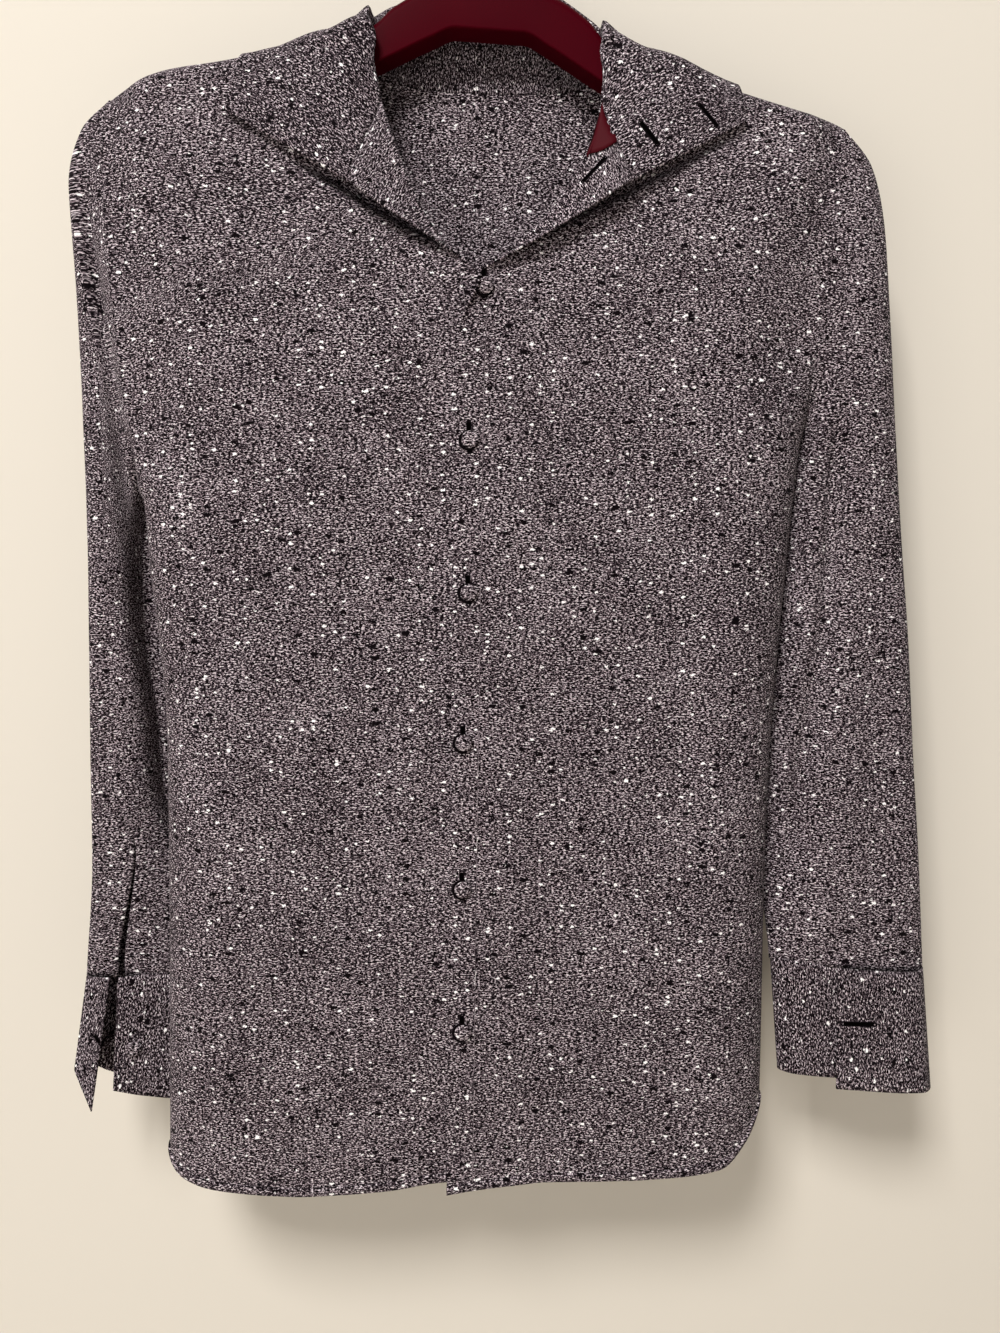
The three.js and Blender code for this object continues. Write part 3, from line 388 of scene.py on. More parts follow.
BODY_RIPPLE, COARSE_SIZE, FINE_SIZE, FINE_SHARE = 0.8, 46, 17, 0.4
RIPPLE_SEEDS = {"front": 3, "back": 9, "fine": 5}
FOLD_ABOVE, FOLD_BELOW = 60, 10
EDGE_SOFT, EDGE_SOFT_ROWS, EDGE_ROUND = (26, 60), (150, 260), 45
SIDES = {
    "right": {"armhole": ARMHOLE_RIGHT, "seam": SIDE_RIGHT, "hem": 803},
    "left": {"armhole": ARMHOLE_LEFT, "seam": SIDE_LEFT, "hem": 771},
}
rest_rows = [(way * at, top + SHOULDER_REST) for way in (-1, 1)
             for at, top in zip(BAR["at"], BAR["top"]) if REST_FROM <= at < REST_TO]
rest_rows += zip(SHOULDER_ENDS["at"], SHOULDER_ENDS["z"])
SHOULDER = table("at z", sorted(tilted(at, z) for at, z in rest_rows))

# Rows are close together where the cloth bends over the shoulder and where the lapels turn.
ROW_PLACES = [0, 0.0015, 0.0045, 0.009, 0.016, 0.028, 0.045, 0.07, 0.105, 0.14, 0.17, 0.2, 0.222, 0.24, 0.255,
              0.27, 0.29, 0.32, 0.365, 0.42, 0.455, 0.49, 0.53, 0.57, 0.615, 0.66, 0.705, 0.75, 0.795, 0.84,
              0.885, 0.93, 0.965, 1]
ROW_STEPS = 5
ROWS = np.interp(np.arange(0, (len(ROW_PLACES) - 1) * ROW_STEPS + 1) / ROW_STEPS,
                 np.arange(len(ROW_PLACES)), ROW_PLACES)[:, None]


def side_at(side, z):
    """The body's edge at a height: the armhole seam, and below it the side seam."""
    cut = SIDES[side]
    below = -z > cut["armhole"]["at"][-1]
    x = np.where(below, read(cut["seam"], "x", -z), read(cut["armhole"], "x", -z))
    front = np.where(below, SIDE_SEAM_DEPTH - SIDE_SEAM_HALF_GAP, read(cut["armhole"], "front", -z))
    back = np.where(below, SIDE_SEAM_DEPTH + SIDE_SEAM_HALF_GAP, read(cut["armhole"], "back", -z))
    return x, front, back


def side_along(side, along):
    """The edge along its length: 0 to 1 down the armhole, 1 to 2 down the side seam."""
    cut = SIDES[side]
    top, under = cut["armhole"]["at"][[0, -1]]
    down = np.where(along <= 1, mix(top, under, along), mix(under, cut["hem"], along - 1))
    return side_at(side, -down)[0], -down


def trough_depth(troughs, x, z):
    """How deep the troughs of a table are at a place. Each fades out towards its two ends."""
    depth = 0
    for x_top, z_top, x_bottom, z_bottom, width, deep in zip(*troughs.values()):
        along = np.clip((z_top - z) / (z_top - z_bottom), 0, 1)
        off = (x - mix(x_top, x_bottom, along)) / width
        depth = depth + deep * np.exp(-off * off) * np.sin(math.pi * along) ** 0.7
    return depth


def unevenness(x, z, size, seed):
    """A soft random height from -1 to 1, in patches of a given size."""
    x, z = np.broadcast_arrays(x, z)
    spots = zip(x.ravel() / size, z.ravel() / size)
    return np.array([noise.noise(Vector((a, seed, b))) for a, b in spots]).reshape(x.shape)


def body_depth(face, x, z):
    """Where the front or the back of the body lies in Y, at a place of its outline."""
    drop = np.maximum(0, read(SHOULDER, "z", x) - z)
    wrap = np.sqrt(SHOULDER_WRAP ** 2 - np.maximum(0, SHOULDER_WRAP - drop) ** 2)
    hang = read(HANG, face, -z) * smooth(*HANG_FADE, drop)
    crease_x = x if face == "front" else -x - CREASE_MIRROR
    creases = trough_depth(BODY_CREASES, crease_x, z) * smooth(*CREASE_FADE, drop)
    ripple = unevenness(x, z, COARSE_SIZE, RIPPLE_SEEDS[face])
    ripple = ripple + FINE_SHARE * unevenness(x, z, FINE_SIZE, RIPPLE_SEEDS["fine"])
    out = wrap + hang - trough_depth(BODY_TROUGHS, x, z) - creases
    out = out + BODY_RIPPLE * ripple * smooth(*RIPPLE_FADE, drop)
    depth = 0
    for side, own in (("right", x < BODY_MIDDLE), ("left", x >= BODY_MIDDLE)):
        edge_x, front, back = side_at(side, z)
        inset = np.maximum(0, x - edge_x if side == "right" else edge_x - x)
        underarm = SIDES[side]["armhole"]["at"][-1]
        folded = smooth(underarm - FOLD_ABOVE, underarm + FOLD_BELOW, -z)
        soft = smooth(0, mix(*EDGE_SOFT, smooth(*EDGE_SOFT_ROWS, -z)), inset)
        rounded = np.sqrt(1 - (1 - np.minimum(inset, EDGE_ROUND) / EDGE_ROUND) ** 2)
        away = mix(front if face == "front" else back, -out if face == "front" else out,
                   mix(soft, rounded, folded))
        depth = depth + np.where(own, away, 0)
    return depth


def shoulder_gap(x, z):
    """Half the space between the front's and the back's cloth by the shoulder seam."""
    drop = np.maximum(0, read(SHOULDER, "z", x) - z)
    return SEAM_GAP / 2 + CLOTH / 2 * np.minimum(1, drop / SEAM_EASE)


def read_place(rows, at, name=""):
    """Reads points of a table that has a column for each of X, Y and Z."""
    return stack(*[read(rows, name + axis, at) for axis in "xyz"])


def neck_seam(at):
    """Points of the neck seam, from the right lapel (0) round the neck to the left lapel (1)."""
    return read_place(NECK_SEAM, at)


def spread(count, power=1.0):
    """Shares from 0 to 1 that start close together."""
    return np.linspace(0, 1, count) ** power


def grain(points, spine, wrapped=True):
    """Flat coordinates of hanging cloth: level across from one column, and down the grain."""
    across = lengths(points * (1, 1, 0), 1)
    across = across * np.sign(points[-1, spine + 1, 0] - points[-1, spine, 0])
    down = -points[..., 2]
    if wrapped:
        drop = np.clip(read(SHOULDER, "z", points[..., 0]) + down, 0, SHOULDER_WRAP)
        down = down - drop + SHOULDER_WRAP * np.arccos(1 - drop / SHOULDER_WRAP)
    middle = slice(spine, spine + 1)
    return np.stack([across - across[:, middle] + points[:, middle, 0], down], axis=-1)


back_share = {
    "right": spread(46, 1.5)[:-1],
    "neck": np.concatenate([np.linspace(0.25, 0.28, 9)[:-1], np.linspace(0.28, 0.72, 46)[:-1],
                            np.linspace(0.72, 0.75, 9)]),
    "left": 1 - spread(46, 1.5)[::-1][1:],
}
neck_ends = neck_seam(np.array([0.25, 0.75]))
edge_tops = [side_along(side, np.array(0.0))[0] for side in ("right", "left")]
back_top_x = np.concatenate([mix(edge_tops[0], neck_ends[0, 0], back_share["right"]),
                             neck_seam(back_share["neck"])[:, 0],
                             mix(neck_ends[1, 0], edge_tops[1], back_share["left"])])
on_neck = (back_top_x >= neck_ends[0, 0]) & (back_top_x <= neck_ends[1, 0])
back_top = stack(back_top_x, SEAM_GAP / 2, read(SHOULDER, "z", back_top_x))
back_top[on_neck] = neck_seam(back_share["neck"])

along = np.where(ROWS <= UNDERARM_ROW, ROWS / UNDERARM_ROW, 1 + (ROWS - UNDERARM_ROW) / (1 - UNDERARM_ROW))
(right_x, right_z), (left_x, left_z) = side_along("right", along), side_along("left", along)
back_across = (back_top_x - edge_tops[0]) / (edge_tops[1] - edge_tops[0])
back_x = mix(right_x, left_x, back_across)
back_z = mix(right_z, left_z, back_across)
back_arch = back_top[:, 2] - mix(right_z[0], left_z[0], back_across)
back_z += back_arch * np.maximum(0, 1 - ROWS / UNDERARM_ROW) ** 1.5
hem_change = read(HEM_BACK, "z", back_x) - mix(-SIDES["right"]["hem"], -SIDES["left"]["hem"], back_across)
back_z += hem_change * np.maximum(0, along - 1) ** 2
back_y = np.maximum(body_depth("back", back_x, back_z), shoulder_gap(back_x, back_z))
back_y[:, 0], back_y[:, -1] = side_at("right", right_z[:, 0])[2], side_at("left", left_z[:, 0])[2]
least = shoulder_gap(back_top[:, 0], back_top[:, 2])
neck_shift = np.maximum(back_top[:, 1], least)
neck_shift = neck_shift - np.maximum(body_depth("back", back_top[:, 0], back_top[:, 2]), least)
back_y += np.where(on_neck, neck_shift, 0) * np.maximum(0, 1 - ROWS / NECK_FADE)
back_points = stack(back_x, back_y, back_z)

# A fine crepe, woven of pale and dark marled yarns. Its face is a mottle of short strokes along
# the weft, under 1 mm high and a few millimetres long, with white slubs and black specks strewn
# over it, and it is quite matt. The strokes are drawn a little coarser than the yarn, to show.
CLOTH_TONES = [(0.0, "#020001"), (0.454, "#060104"), (0.499, "#140d12"), (0.532, "#3c2f36"),
               (0.561, "#75666e"), (0.6, "#b1a2aa"), (0.67, "#e6dce1")]
STROKE_MM, STROKE_HEIGHT_MM = 1.75, 0.8
GRAIN_MM, GRAIN_STRETCH, GRAIN_SHARE = 0.6, 0.6, 0.4
PATCHES_PER_METRE, PATCH_SHARE = 22, 0.06
WANDERS_PER_METRE, WANDER_METRES = 900, 0.0024
SPOTS = {
    "speck": {"cell_mm": 4.9, "left_out": 0.45, "radius": 0.29, "shift": 3.1, "colour": "#050003"},
    "slub": {"cell_mm": 3.5, "left_out": 0.5, "radius": 0.24, "shift": 0.0, "colour": "#fbf8f9"},
}
SPOT_STRETCH, SPOT_LEAST, SPOT_FROM, SPOT_TO = 0.52, 0.35, -0.02, 0.03


def crepe(name, darker=0.0):
    """The marled cloth, on flat coordinates whose first axis runs along the weft."""
    material = new_material(name)
    flat = add(material, "TexCoord").outputs["UV"]
    yarn = {"Scale": 1, "Detail": 2.0, "Roughness": 0.6}
    stroke_scale = (1000 / STROKE_MM, 1000 / STROKE_HEIGHT_MM, 1)
    strokes = add(material, "Mapping", {"Scale": stroke_scale}, {"Vector": flat})
    strokes = add(material, "TexNoise", {"Distortion": 0.5, **yarn}, {"Vector": strokes})
    grain_scale = (1000 / GRAIN_MM * GRAIN_STRETCH, 1000 / GRAIN_MM, 1)
    fine = add(material, "Mapping", {"Scale": grain_scale}, {"Vector": flat})
    fine = add(material, "TexNoise", yarn, {"Vector": fine})
    patches = add(material, "TexNoise", {"Scale": PATCHES_PER_METRE, "Detail": 2}, {"Vector": flat})
    mottle = add(material, "Math", {"operation": "ADD", 1: -(GRAIN_SHARE + PATCH_SHARE) / 2 - darker},
                 {0: strokes})
    for share, pattern in ((GRAIN_SHARE, fine), (PATCH_SHARE, patches)):
        mottle = add(material, "Math", {"operation": "MULTIPLY_ADD", 1: share}, {0: pattern, 2: mottle})
    tones = add(material, "ValToRGB", {}, {0: mottle})
    ramp = tones.color_ramp.elements
    while len(ramp) < len(CLOTH_TONES):
        ramp.new(0.5)
    for stop, (position, tone_colour) in zip(ramp, CLOTH_TONES):
        stop.position, stop.color = position, linear(tone_colour)
    colour = tones.outputs[0]
    wander = add(material, "Mapping", {"Scale": (WANDERS_PER_METRE, WANDERS_PER_METRE, 1)}, {"Vector": flat})
    wander = add(material, "TexNoise", {"Scale": 1, "Detail": 1}, {"Vector": wander})
    wander = add(material, "VectorMath", {"operation": "SCALE", "Scale": WANDER_METRES},
                 {0: wander.outputs[1]})
    bent = add(material, "VectorMath", {"operation": "ADD"}, {0: flat, 1: wander})
    for spot in SPOTS.values():
        cells = 1000 / spot["cell_mm"]
        spots = add(material, "Mapping", {"Scale": (cells * SPOT_STRETCH, cells, 1),
                                          "Location": (spot["shift"], spot["shift"], 0)}, {"Vector": bent})
        spots = add(material, "TexVoronoi", {"Scale": 1}, {"Vector": spots})
        draw = add(material, "SeparateColor", {}, {0: spots.outputs["Color"]})
        size = add(material, "MapRange", {"From Min": spot["left_out"], "To Min": spot["radius"] * SPOT_LEAST,
                                          "To Max": spot["radius"]}, {0: draw})
        inside = add(material, "Math", {"operation": "SUBTRACT"}, {0: size, 1: spots})
        inside = add(material, "MapRange", {"From Min": SPOT_FROM, "From Max": SPOT_TO}, {0: inside})
        kept = add(material, "Math", {"operation": "GREATER_THAN", 1: spot["left_out"]}, {0: draw})
        inside = add(material, "Math", {"operation": "MULTIPLY"}, {0: inside, 1: kept})
        blend = {"data_type": "RGBA", 7: linear(spot["colour"])}
        colour = add(material, "Mix", blend, {0: inside, 6: colour}).outputs[2]
    height = add(material, "Bump", {"Strength": 0.35, "Distance": 0.0004}, {"Height": mottle})
    surface = add(material, "BsdfPrincipled",
                  {"Roughness": 0.9, "Specular IOR Level": 0.08, "Sheen Weight": 0.02},
                  {"Base Color": colour, "Normal": height})
    add(material, "OutputMaterial", {}, {"Surface": surface})
    return material


def sew(piece, thickness, material, slot, flat, area, *nodes, with_pieces=()):
    """Gives cloth its thickness and material."""
    body = piece.modifiers.new("thickness", "SOLIDIFY")
    body.thickness, body.offset, body.use_quality_normals = thickness / 1000, 0, True
    dress(piece, material, slot, *nodes)


shirt_crepe = crepe("marled_crepe")
back = grid_piece("back_panel", back_points, grain(back_points, back_points.shape[1] // 2) + (700, 0))
sew(back, CLOTH, shirt_crepe, "shirt_cloth", (0.48, 0.755), 0.325, "back")


# The fronts: two panels that lap at the middle, the left over the right. Above the first button
# each is turned out along its roll line, so that its inside shows as a narrow lapel.
ROLL_STEP, ROLL_DROP, ROLL_SHARE = 2.4, 1.5, 0.006
OVERLAP_STEP, OVERLAP_EDGE, OVERLAP_ROWS = 2.6, (4, 30), (205, 236)
# Down each front: the place along its outer edge, then where it meets the neck, where it rolls
# over and where it ends, how far that end stands off the chest, and how far it is turned out.
FRONT_COLUMNS = "at side neck_x neck_z roll_x roll_z edge_x edge_z lift turn"
FRONT_RIGHT = table(FRONT_COLUMNS, [
    (0, 0, -84, -83, -73, -132, -92, -186, 10, 1),
    (0.07, 0.16, -82, -122, -66, -153, -80, -195, 9.5, 1),
    (0.14, 0.32, -76, -156, -58.5, -174, -68, -203, 8.5, 1),
    (0.2, 0.46, -68, -188, -49, -196, -53, -212, 6.5, 1),
    (0.24, 0.55, -58, -213, -37, -216, -36, -222, 4, 0.8),
    (0.27, 0.62, -50, -236, -25, -233, -15, -236, 0.5, 0.2),
    (0.31, 0.72, -46, -265, -21, -261, -1, -258, 0, 0),
    (0.36, 0.85, -47, -305, -23, -303, -3, -300, 0, 0),
    (0.42, 1, -50, -360, -26, -357, -5, -355, 0, 0),
    (1, 2, -58, -815, -32, -812, -9, -812, 0, 0),
])
FRONT_LEFT = table(FRONT_COLUMNS, [
    (0, 0, 67, -91.3, 62, -135, 80, -186, 10, 1),
    (0.07, 0.16, 68, -128, 55, -160, 66, -195, 9.5, 1),
    (0.14, 0.34, 62, -160, 42, -185, 50, -205, 8.5, 1),
    (0.2, 0.5, 50, -192, 23, -209, 27, -218, 6.5, 1),
    (0.24, 0.6, 34, -216, 5, -226, 3, -231, 3.5, 0.8),
    (0.27, 0.7, 20, -238, -6, -238, -15, -240, 0, 0.1),
    (0.31, 0.82, 12, -262, -8, -263, -24, -266, 0, 0),
    (0.36, 1, 8, -308, -10, -309, -27, -310, 0, 0),
    (0.42, 1.08, 6, -358, -11, -359, -28, -360, 0, 0),
    (1, 2, 0, -814, -18, -817, -34.5, -820, 0, 0),
])
HEM_FRONT_RIGHT = table("at z", [
    (-222, -803), (-210, -813), (-183, -818.5), (-130, -822.5), (-78, -819), (-35, -812.5),
    (0, -811),
])
HEM_FRONT_LEFT = table("at z", [
    (-35, -820), (-20, -817), (10, -813.5), (91, -811), (143, -805), (160, -790), (172, -770),
])
FRONTS = {
    "right": {"rows": FRONT_RIGHT, "hem": HEM_FRONT_RIGHT, "inward": 1, "neck": 0.25, "roll": 0.13,
              "edge": 0.0, "sheet": (0.245, 0.75), "area": 0.168, "flat_shift": (0, 0)},
    "left": {"rows": FRONT_LEFT, "hem": HEM_FRONT_LEFT, "inward": -1, "neck": 0.75, "roll": 0.87,
             "edge": 1.0, "sheet": (0.245, 0.74), "area": 0.158, "flat_shift": (1500, 400)},
}
CHEST = spread(64, 1.5)
V_BOTTOM_ROW = 0.26
CURL_ROW, CURL_SPAN, CURL_LIFT, CURL_BACK = 0.286, 0.017, 6.5, 6.0
EDGE_LIFT = 4.2
# Under each lapel's edge the chest falls back in a trough, which gives the edge its shadow.
UNDER_LAPEL = table(TROUGH_COLUMNS, [
    (-122, -166, -22, -225, 8, 17),
    (143, -151, 20, -215, 7, 11),
])
NECK_PART = np.linspace(0, 1, 18)[1:-1]
ROLL_PART = np.linspace(-1, 1, 11)
LAPEL_PART = np.linspace(0, 1, 30)[1:]


def overlap(x):
    """How far the left front is lifted where it laps over the right one."""
    return (1 - smooth(*OVERLAP_EDGE, x)) * OVERLAP_STEP


def front_grid(side):
    """The points of a front, with one column for each share of its stretches."""
    cut = FRONTS[side]
    cell = {name: read(cut["rows"], name, ROWS) for name in cut["rows"] if name != "at"}
    edge_x, edge_z = side_along(side, cell["side"])
    inward, turn = cut["inward"], cell["turn"]
    before = cell["roll_x"] - inward * ROLL_STEP
    after = cell["roll_x"] + inward * ROLL_STEP * (1 - 2 * turn)
    low = cell["roll_z"] - ROLL_DROP * turn
    angle = ROLL_PART * math.pi / 2
    bend = mix(cell["roll_x"] + inward * ROLL_STEP * ROLL_PART,
               before + inward * ROLL_STEP * np.cos(angle), turn)
    x = [mix(edge_x, cell["neck_x"], CHEST), mix(cell["neck_x"], before, NECK_PART), bend,
         mix(after, cell["edge_x"], LAPEL_PART)]
    z = [mix(edge_z, cell["neck_z"], CHEST), mix(cell["neck_z"], cell["roll_z"], NECK_PART),
         mix(cell["roll_z"], low, (1 + ROLL_PART) / 2), mix(low, cell["edge_z"], LAPEL_PART)]
    out = [0 * x[0], 0 * x[1], turn * ROLL_STEP * (1 + np.sin(angle)),
           turn * (mix(2 * ROLL_STEP, cell["lift"], LAPEL_PART) + EDGE_LIFT * LAPEL_PART ** 2)]
    x, z, out = (np.concatenate(parts, axis=1) for parts in (x, z, out))
    if side == "left":
        curl = np.exp(-((ROWS - CURL_ROW) / CURL_SPAN) ** 2) * LAPEL_PART ** 2
        out[:, -len(LAPEL_PART):] += CURL_LIFT * curl
        x[:, -len(LAPEL_PART):] += CURL_BACK * curl
    chest = len(CHEST)
    arch = read(SHOULDER, "z", x[0, :chest]) - z[0, :chest]
    foot_z = z[-1].copy()
    z[:, :chest] += arch * np.maximum(0, 1 - ROWS / UNDERARM_ROW) ** 2
    fall = np.maximum(0, ROWS - UNDERARM_ROW) / (1 - UNDERARM_ROW)
    z += (read(cut["hem"], "z", x[-1]) - foot_z) * fall ** 2
    over = overlap(x) * smooth(*OVERLAP_ROWS, -z) if side == "left" else 0
    y = np.minimum(body_depth("front", x, z), -shoulder_gap(x, z))
    y[:, 0] = side_at(side, z[:, 0])[1]
    under = len(CHEST) + len(NECK_PART)
    y[:, :under] += trough_depth(UNDER_LAPEL, x, z)[:, :under]
    points = stack(x, y - out - over, z)
    near = ROLL_SHARE * np.sign(cut["neck"] - cut["roll"])
    start = np.concatenate([mix(cut["neck"], cut["roll"] + near, NECK_PART), cut["roll"] - near * ROLL_PART,
                            mix(cut["roll"] - near, cut["edge"], LAPEL_PART)])
    shift = neck_seam(start) - points[0, chest:]
    points[:, chest:] += shift * np.maximum(0, 1 - ROWS / NECK_FADE)[..., None]
    return points


front_points = {side: front_grid(side) for side in FRONTS}
roll_column = len(CHEST) + len(NECK_PART) + len(ROLL_PART) // 2


def front_flat(side):
    """Flat coordinates of a front. The lapel's are those of the cloth before it was turned."""
    points = front_points[side]
    flat = grain(points, roll_column)
    level = points[..., ::2] * (1, -1)
    roll = level[:, roll_column:roll_column + 1]
    way = roll[np.searchsorted(ROWS[:, 0], V_BOTTOM_ROW)] - roll[0]
    way /= np.linalg.norm(way)
    off = level - roll
    turned = 2 * way * (off * way).sum(axis=-1, keepdims=True) - off
    lapel = roll + mix(off, turned, read(FRONTS[side]["rows"], "turn", ROWS)[..., None])
    flat[:, roll_column:] = lapel[:, roll_column:]
    return flat


for side, cut in FRONTS.items():
    front = grid_piece(f"front_{side}_panel", front_points[side], front_flat(side) + cut["flat_shift"])
    sew(front, CLOTH, shirt_crepe, "shirt_cloth", cut["sheet"], cut["area"], f"front_{side}")


# The collar: one tall doubled band of the same cloth, cut along its length and seamed round the
# neck. It is turned out flat over the shoulders in front and stands up behind the neck.
COLLAR_CLOTH = 1.6
COLLAR_BEND, BEND_SHARE = 3.5, 0.4
COLLAR_ROWS, COLLAR_COLUMNS = 190, 44
COLLAR_CLEARANCE = 1.5
DOUBLED_DARKER = 0.012
NECK_STAND, NECK_STAND_FROM, NECK_STAND_TO, NECK_OFF = 5.5, 72, 112, 14
NOTCH_LIFT, NOTCHES = 1.4, [(0.11, 0.14, 0.19, 0.22), (0.78, 0.81, 0.86, 0.89)]
BACK_OF_NECK = (0.17, 0.21, 0.79, 0.83)
# Round the neck from the right end to the left: the top fold, a place over the shoulder, and
# the free edge.
COLLAR = table("at fold_x fold_y fold_z over_x over_y over_z edge_x edge_y edge_z", [
    (0, -117, -25.5, -170.8, -143, -21, -155, -167.7, -17.5, -140),
    (0.065, -109, -21.5, -142, -137, -18, -126, -163, -14, -118),
    (0.13, -94, -17.5, -112, -126, -12, -98, -155, 0, -99.5),
    (0.19, -75, -16, -94, -108, -3, -85.5, -147, 9.5, -99.5),
    (0.225, -80, -11.5, -78, -105, 6, -84, -139, 16.5, -102),
    (0.25, -80, -1, -69.5, -103, 11, -82, -135, 21, -103),
    (0.275, -79, 11.5, -69, -100, 15, -78.5, -127, 25.5, -99),
    (0.32, -76, 15, -67, -92, 25, -70, -108, 34, -90),
    (0.37, -57, 22, -72, -63, 29, -52, -76, 37, -55),
    (0.43, -30, 22, -80, -31, 27, -52, -34, 31, -38),
    (0.5, -5, 22, -82, -5, 26.5, -53, -5, 29, -34),
    (0.57, 19, 22, -81, 20, 27, -53, 22, 31, -39),
    (0.63, 44, 22, -76, 49, 29, -57, 60, 37, -59),
    (0.68, 60, 15, -77, 76, 25, -80, 93, 34, -98),
    (0.725, 62, 11.5, -78, 84, 15, -88, 113, 25.5, -109),
    (0.75, 63, -1, -78.5, 87, 11, -91.5, 122, 21, -114),
    (0.775, 62.5, -11.5, -87, 90, 6, -94, 127, 16.5, -116),
    (0.81, 60.5, -16, -103, 93, -3, -96.5, 136, 9.5, -117.5),
    (0.87, 84, -17.5, -121, 115, -12, -110, 147, 0, -117.5),
    (0.935, 97, -21.5, -149, 123, -18, -138, 148.5, -14, -132),
    (1, 103, -25.5, -173, 127, -21, -160, 149.7, -17.5, -147),
])


def clear_of_body(place):
    """Keeps a point of the collar clear of the shoulder or the chest that it lies on."""
    x, y, z = place
    axis = float(read(SHOULDER, "z", x)) - SHOULDER_WRAP
    by_neck = 1 - float(smooth(NECK_STAND_FROM, NECK_STAND_TO, x if x > 0 else -x - NECK_OFF))
    reach = SHOULDER_WRAP + COLLAR_CLEARANCE + NECK_STAND * by_neck
    distance = math.hypot(y, z - axis)
    if z > axis:
        grow = max(1.0, reach / distance)
        return x, y * grow, axis + (z - axis) * grow
    face = "front" if y < 0 else "back"
    limit = float(body_depth(face, np.array(x), np.array(z)))
    return x, (min(y, limit - COLLAR_CLEARANCE) if y < 0 else max(y, limit + COLLAR_CLEARANCE)), z


def bent_line(corners):
    """A line through corners with its bends rounded off."""
    line = [corners[0]]
    for before, corner, after in zip(corners, corners[1:], corners[2:]):
        reach = [other - corner for other in (before, after)]
        toward, away = (corner + way * min(COLLAR_BEND / np.linalg.norm(way), BEND_SHARE) for way in reach)
        for t in np.linspace(0, 1, 5):
            line.append(toward * (1 - t) ** 2 + 2 * corner * t * (1 - t) + away * t ** 2)
    return np.array(line + [corners[-1]])


def collar_section(at):
    """The collar's line from the neck seam over the fold and the shoulder to the free edge."""
    fold, over, edge = (read_place(COLLAR, at, name) for name in ("fold_", "over_", "edge_"))
    seam = neck_seam(at)
    off_seam = mix(SEAM_GAP * 2, CLOTH / 2, window(*BACK_OF_NECK, at))
    seam = seam + (fold - seam) / np.linalg.norm(fold - seam) * off_seam
    seam[1] -= NOTCH_LIFT * sum(window(*notch, at) for notch in NOTCHES)
    line = bent_line([seam, fold, mix(fold, over, 0.5), over, mix(over, edge, 0.5), edge])
    line[5:] = [clear_of_body(place) for place in line[5:]]
    length = np.concatenate([[0], np.cumsum(np.linalg.norm(np.diff(line, axis=0), axis=1))])
    steps = np.linspace(0, length[-1], COLLAR_COLUMNS)
    return stack(*[np.interp(steps, length, line[:, k]) for k in range(3)])


collar_points = np.array([collar_section(at) for at in np.linspace(0, 1, COLLAR_ROWS)])


def band_flat(points):
    """Flat coordinates of a band whose cloth is turned: across its width, then along it."""
    around = lengths(points, 0).mean(axis=1, keepdims=True)
    return np.stack(np.broadcast_arrays(lengths(points, 1), around), axis=-1)


collar = grid_piece("collar_band", collar_points, band_flat(collar_points) + (4000, 0))
collar_crepe = crepe("doubled_crepe", darker=DOUBLED_DARKER)
sew(collar, COLLAR_CLOTH, collar_crepe, "collar_cloth", (0.475, 0.097), 0.036, "collar")


# The neck label: a small bare tab of burgundy satin, sewn inside the left front at its neck.
LABEL_CLOTH, LABEL_SEAT, LABEL_BOW = 0.6, 0.9, 2.8
LABEL_BY_ROLL = [(63.5, -132), (49.5, -167.5)]
LABEL_BY_SEAM = [(65, -133), (73, -159.5)]
LABEL_COLOUR = "#440410"


def lapel_point(side, at, part):
    """A point of a turned-out lapel, by the row and by the share of the way to its edge."""
    first = len(CHEST) + len(NECK_PART) + len(ROLL_PART)
    columns = np.arange(first, first + len(LAPEL_PART))
    row = np.interp(at, ROWS[:, 0], np.arange(len(ROWS)))
    low = int(row)
    near = mix(front_points[side][low], front_points[side][min(low + 1, len(ROWS) - 1)], row - low)
    return np.array([np.interp(part, LAPEL_PART, near[columns, k]) for k in range(3)])


trees = {}


def dropped(target, x, z):
    """The point of a piece's face nearest the viewer at a place."""
    start = Vector((x / 1000, -0.2, z / 1000))
    place = trees[target].ray_cast(start, Vector((0, 1, 0)))[0]
    return np.array(place or trees[target].find_nearest(start * Vector((1, 0.15, 1)))[0]) * 1000


def record_faces(*names):
    """Records the finished faces of pieces, so that places can be dropped on them."""
    bpy.context.view_layer.update()
    depsgraph = bpy.context.evaluated_depsgraph_get()
    for name in names:
        trees[name] = BVHTree.FromObject(bpy.data.objects[name], depsgraph)


def label_point(across, down):
    """A point of the label, by the shares of the way across it and down it."""
    place = mix(mix(*np.array(LABEL_BY_ROLL), down), mix(*np.array(LABEL_BY_SEAM), down), across)
    return dropped("front_left_panel", *(place - (0, LABEL_BOW * down * math.sin(math.pi * across))))


record_faces("front_left_panel", "collar_band")
label_points = np.array([[label_point(across, down) for across in np.linspace(0, 1, 9)]
                         for down in np.linspace(0, 1, 13)])
label = grid_piece("label_tab", label_points - (0, LABEL_SEAT, 0))

# Satin is close and smooth: an even burgundy with a soft sheen and fine ribs across.
satin = new_material("label_satin")
ribs = add(satin, "TexWave", {"Scale": 700}, {"Vector": add(satin, "TexCoord").outputs["UV"]})
ribbed = add(satin, "Bump", {"Strength": 0.2, "Distance": 0.0002}, {"Height": ribs.outputs[1]})
satin_face = add(satin, "BsdfPrincipled", {"Base Color": linear(LABEL_COLOUR), "Roughness": 0.6,
                                           "Specular IOR Level": 0.08}, {"Normal": ribbed})
add(satin, "OutputMaterial", {}, {"Surface": satin_face})
sew(label, LABEL_CLOTH, satin, "label_cloth", (0.035, 0.025), 0.00045, "neck_label")


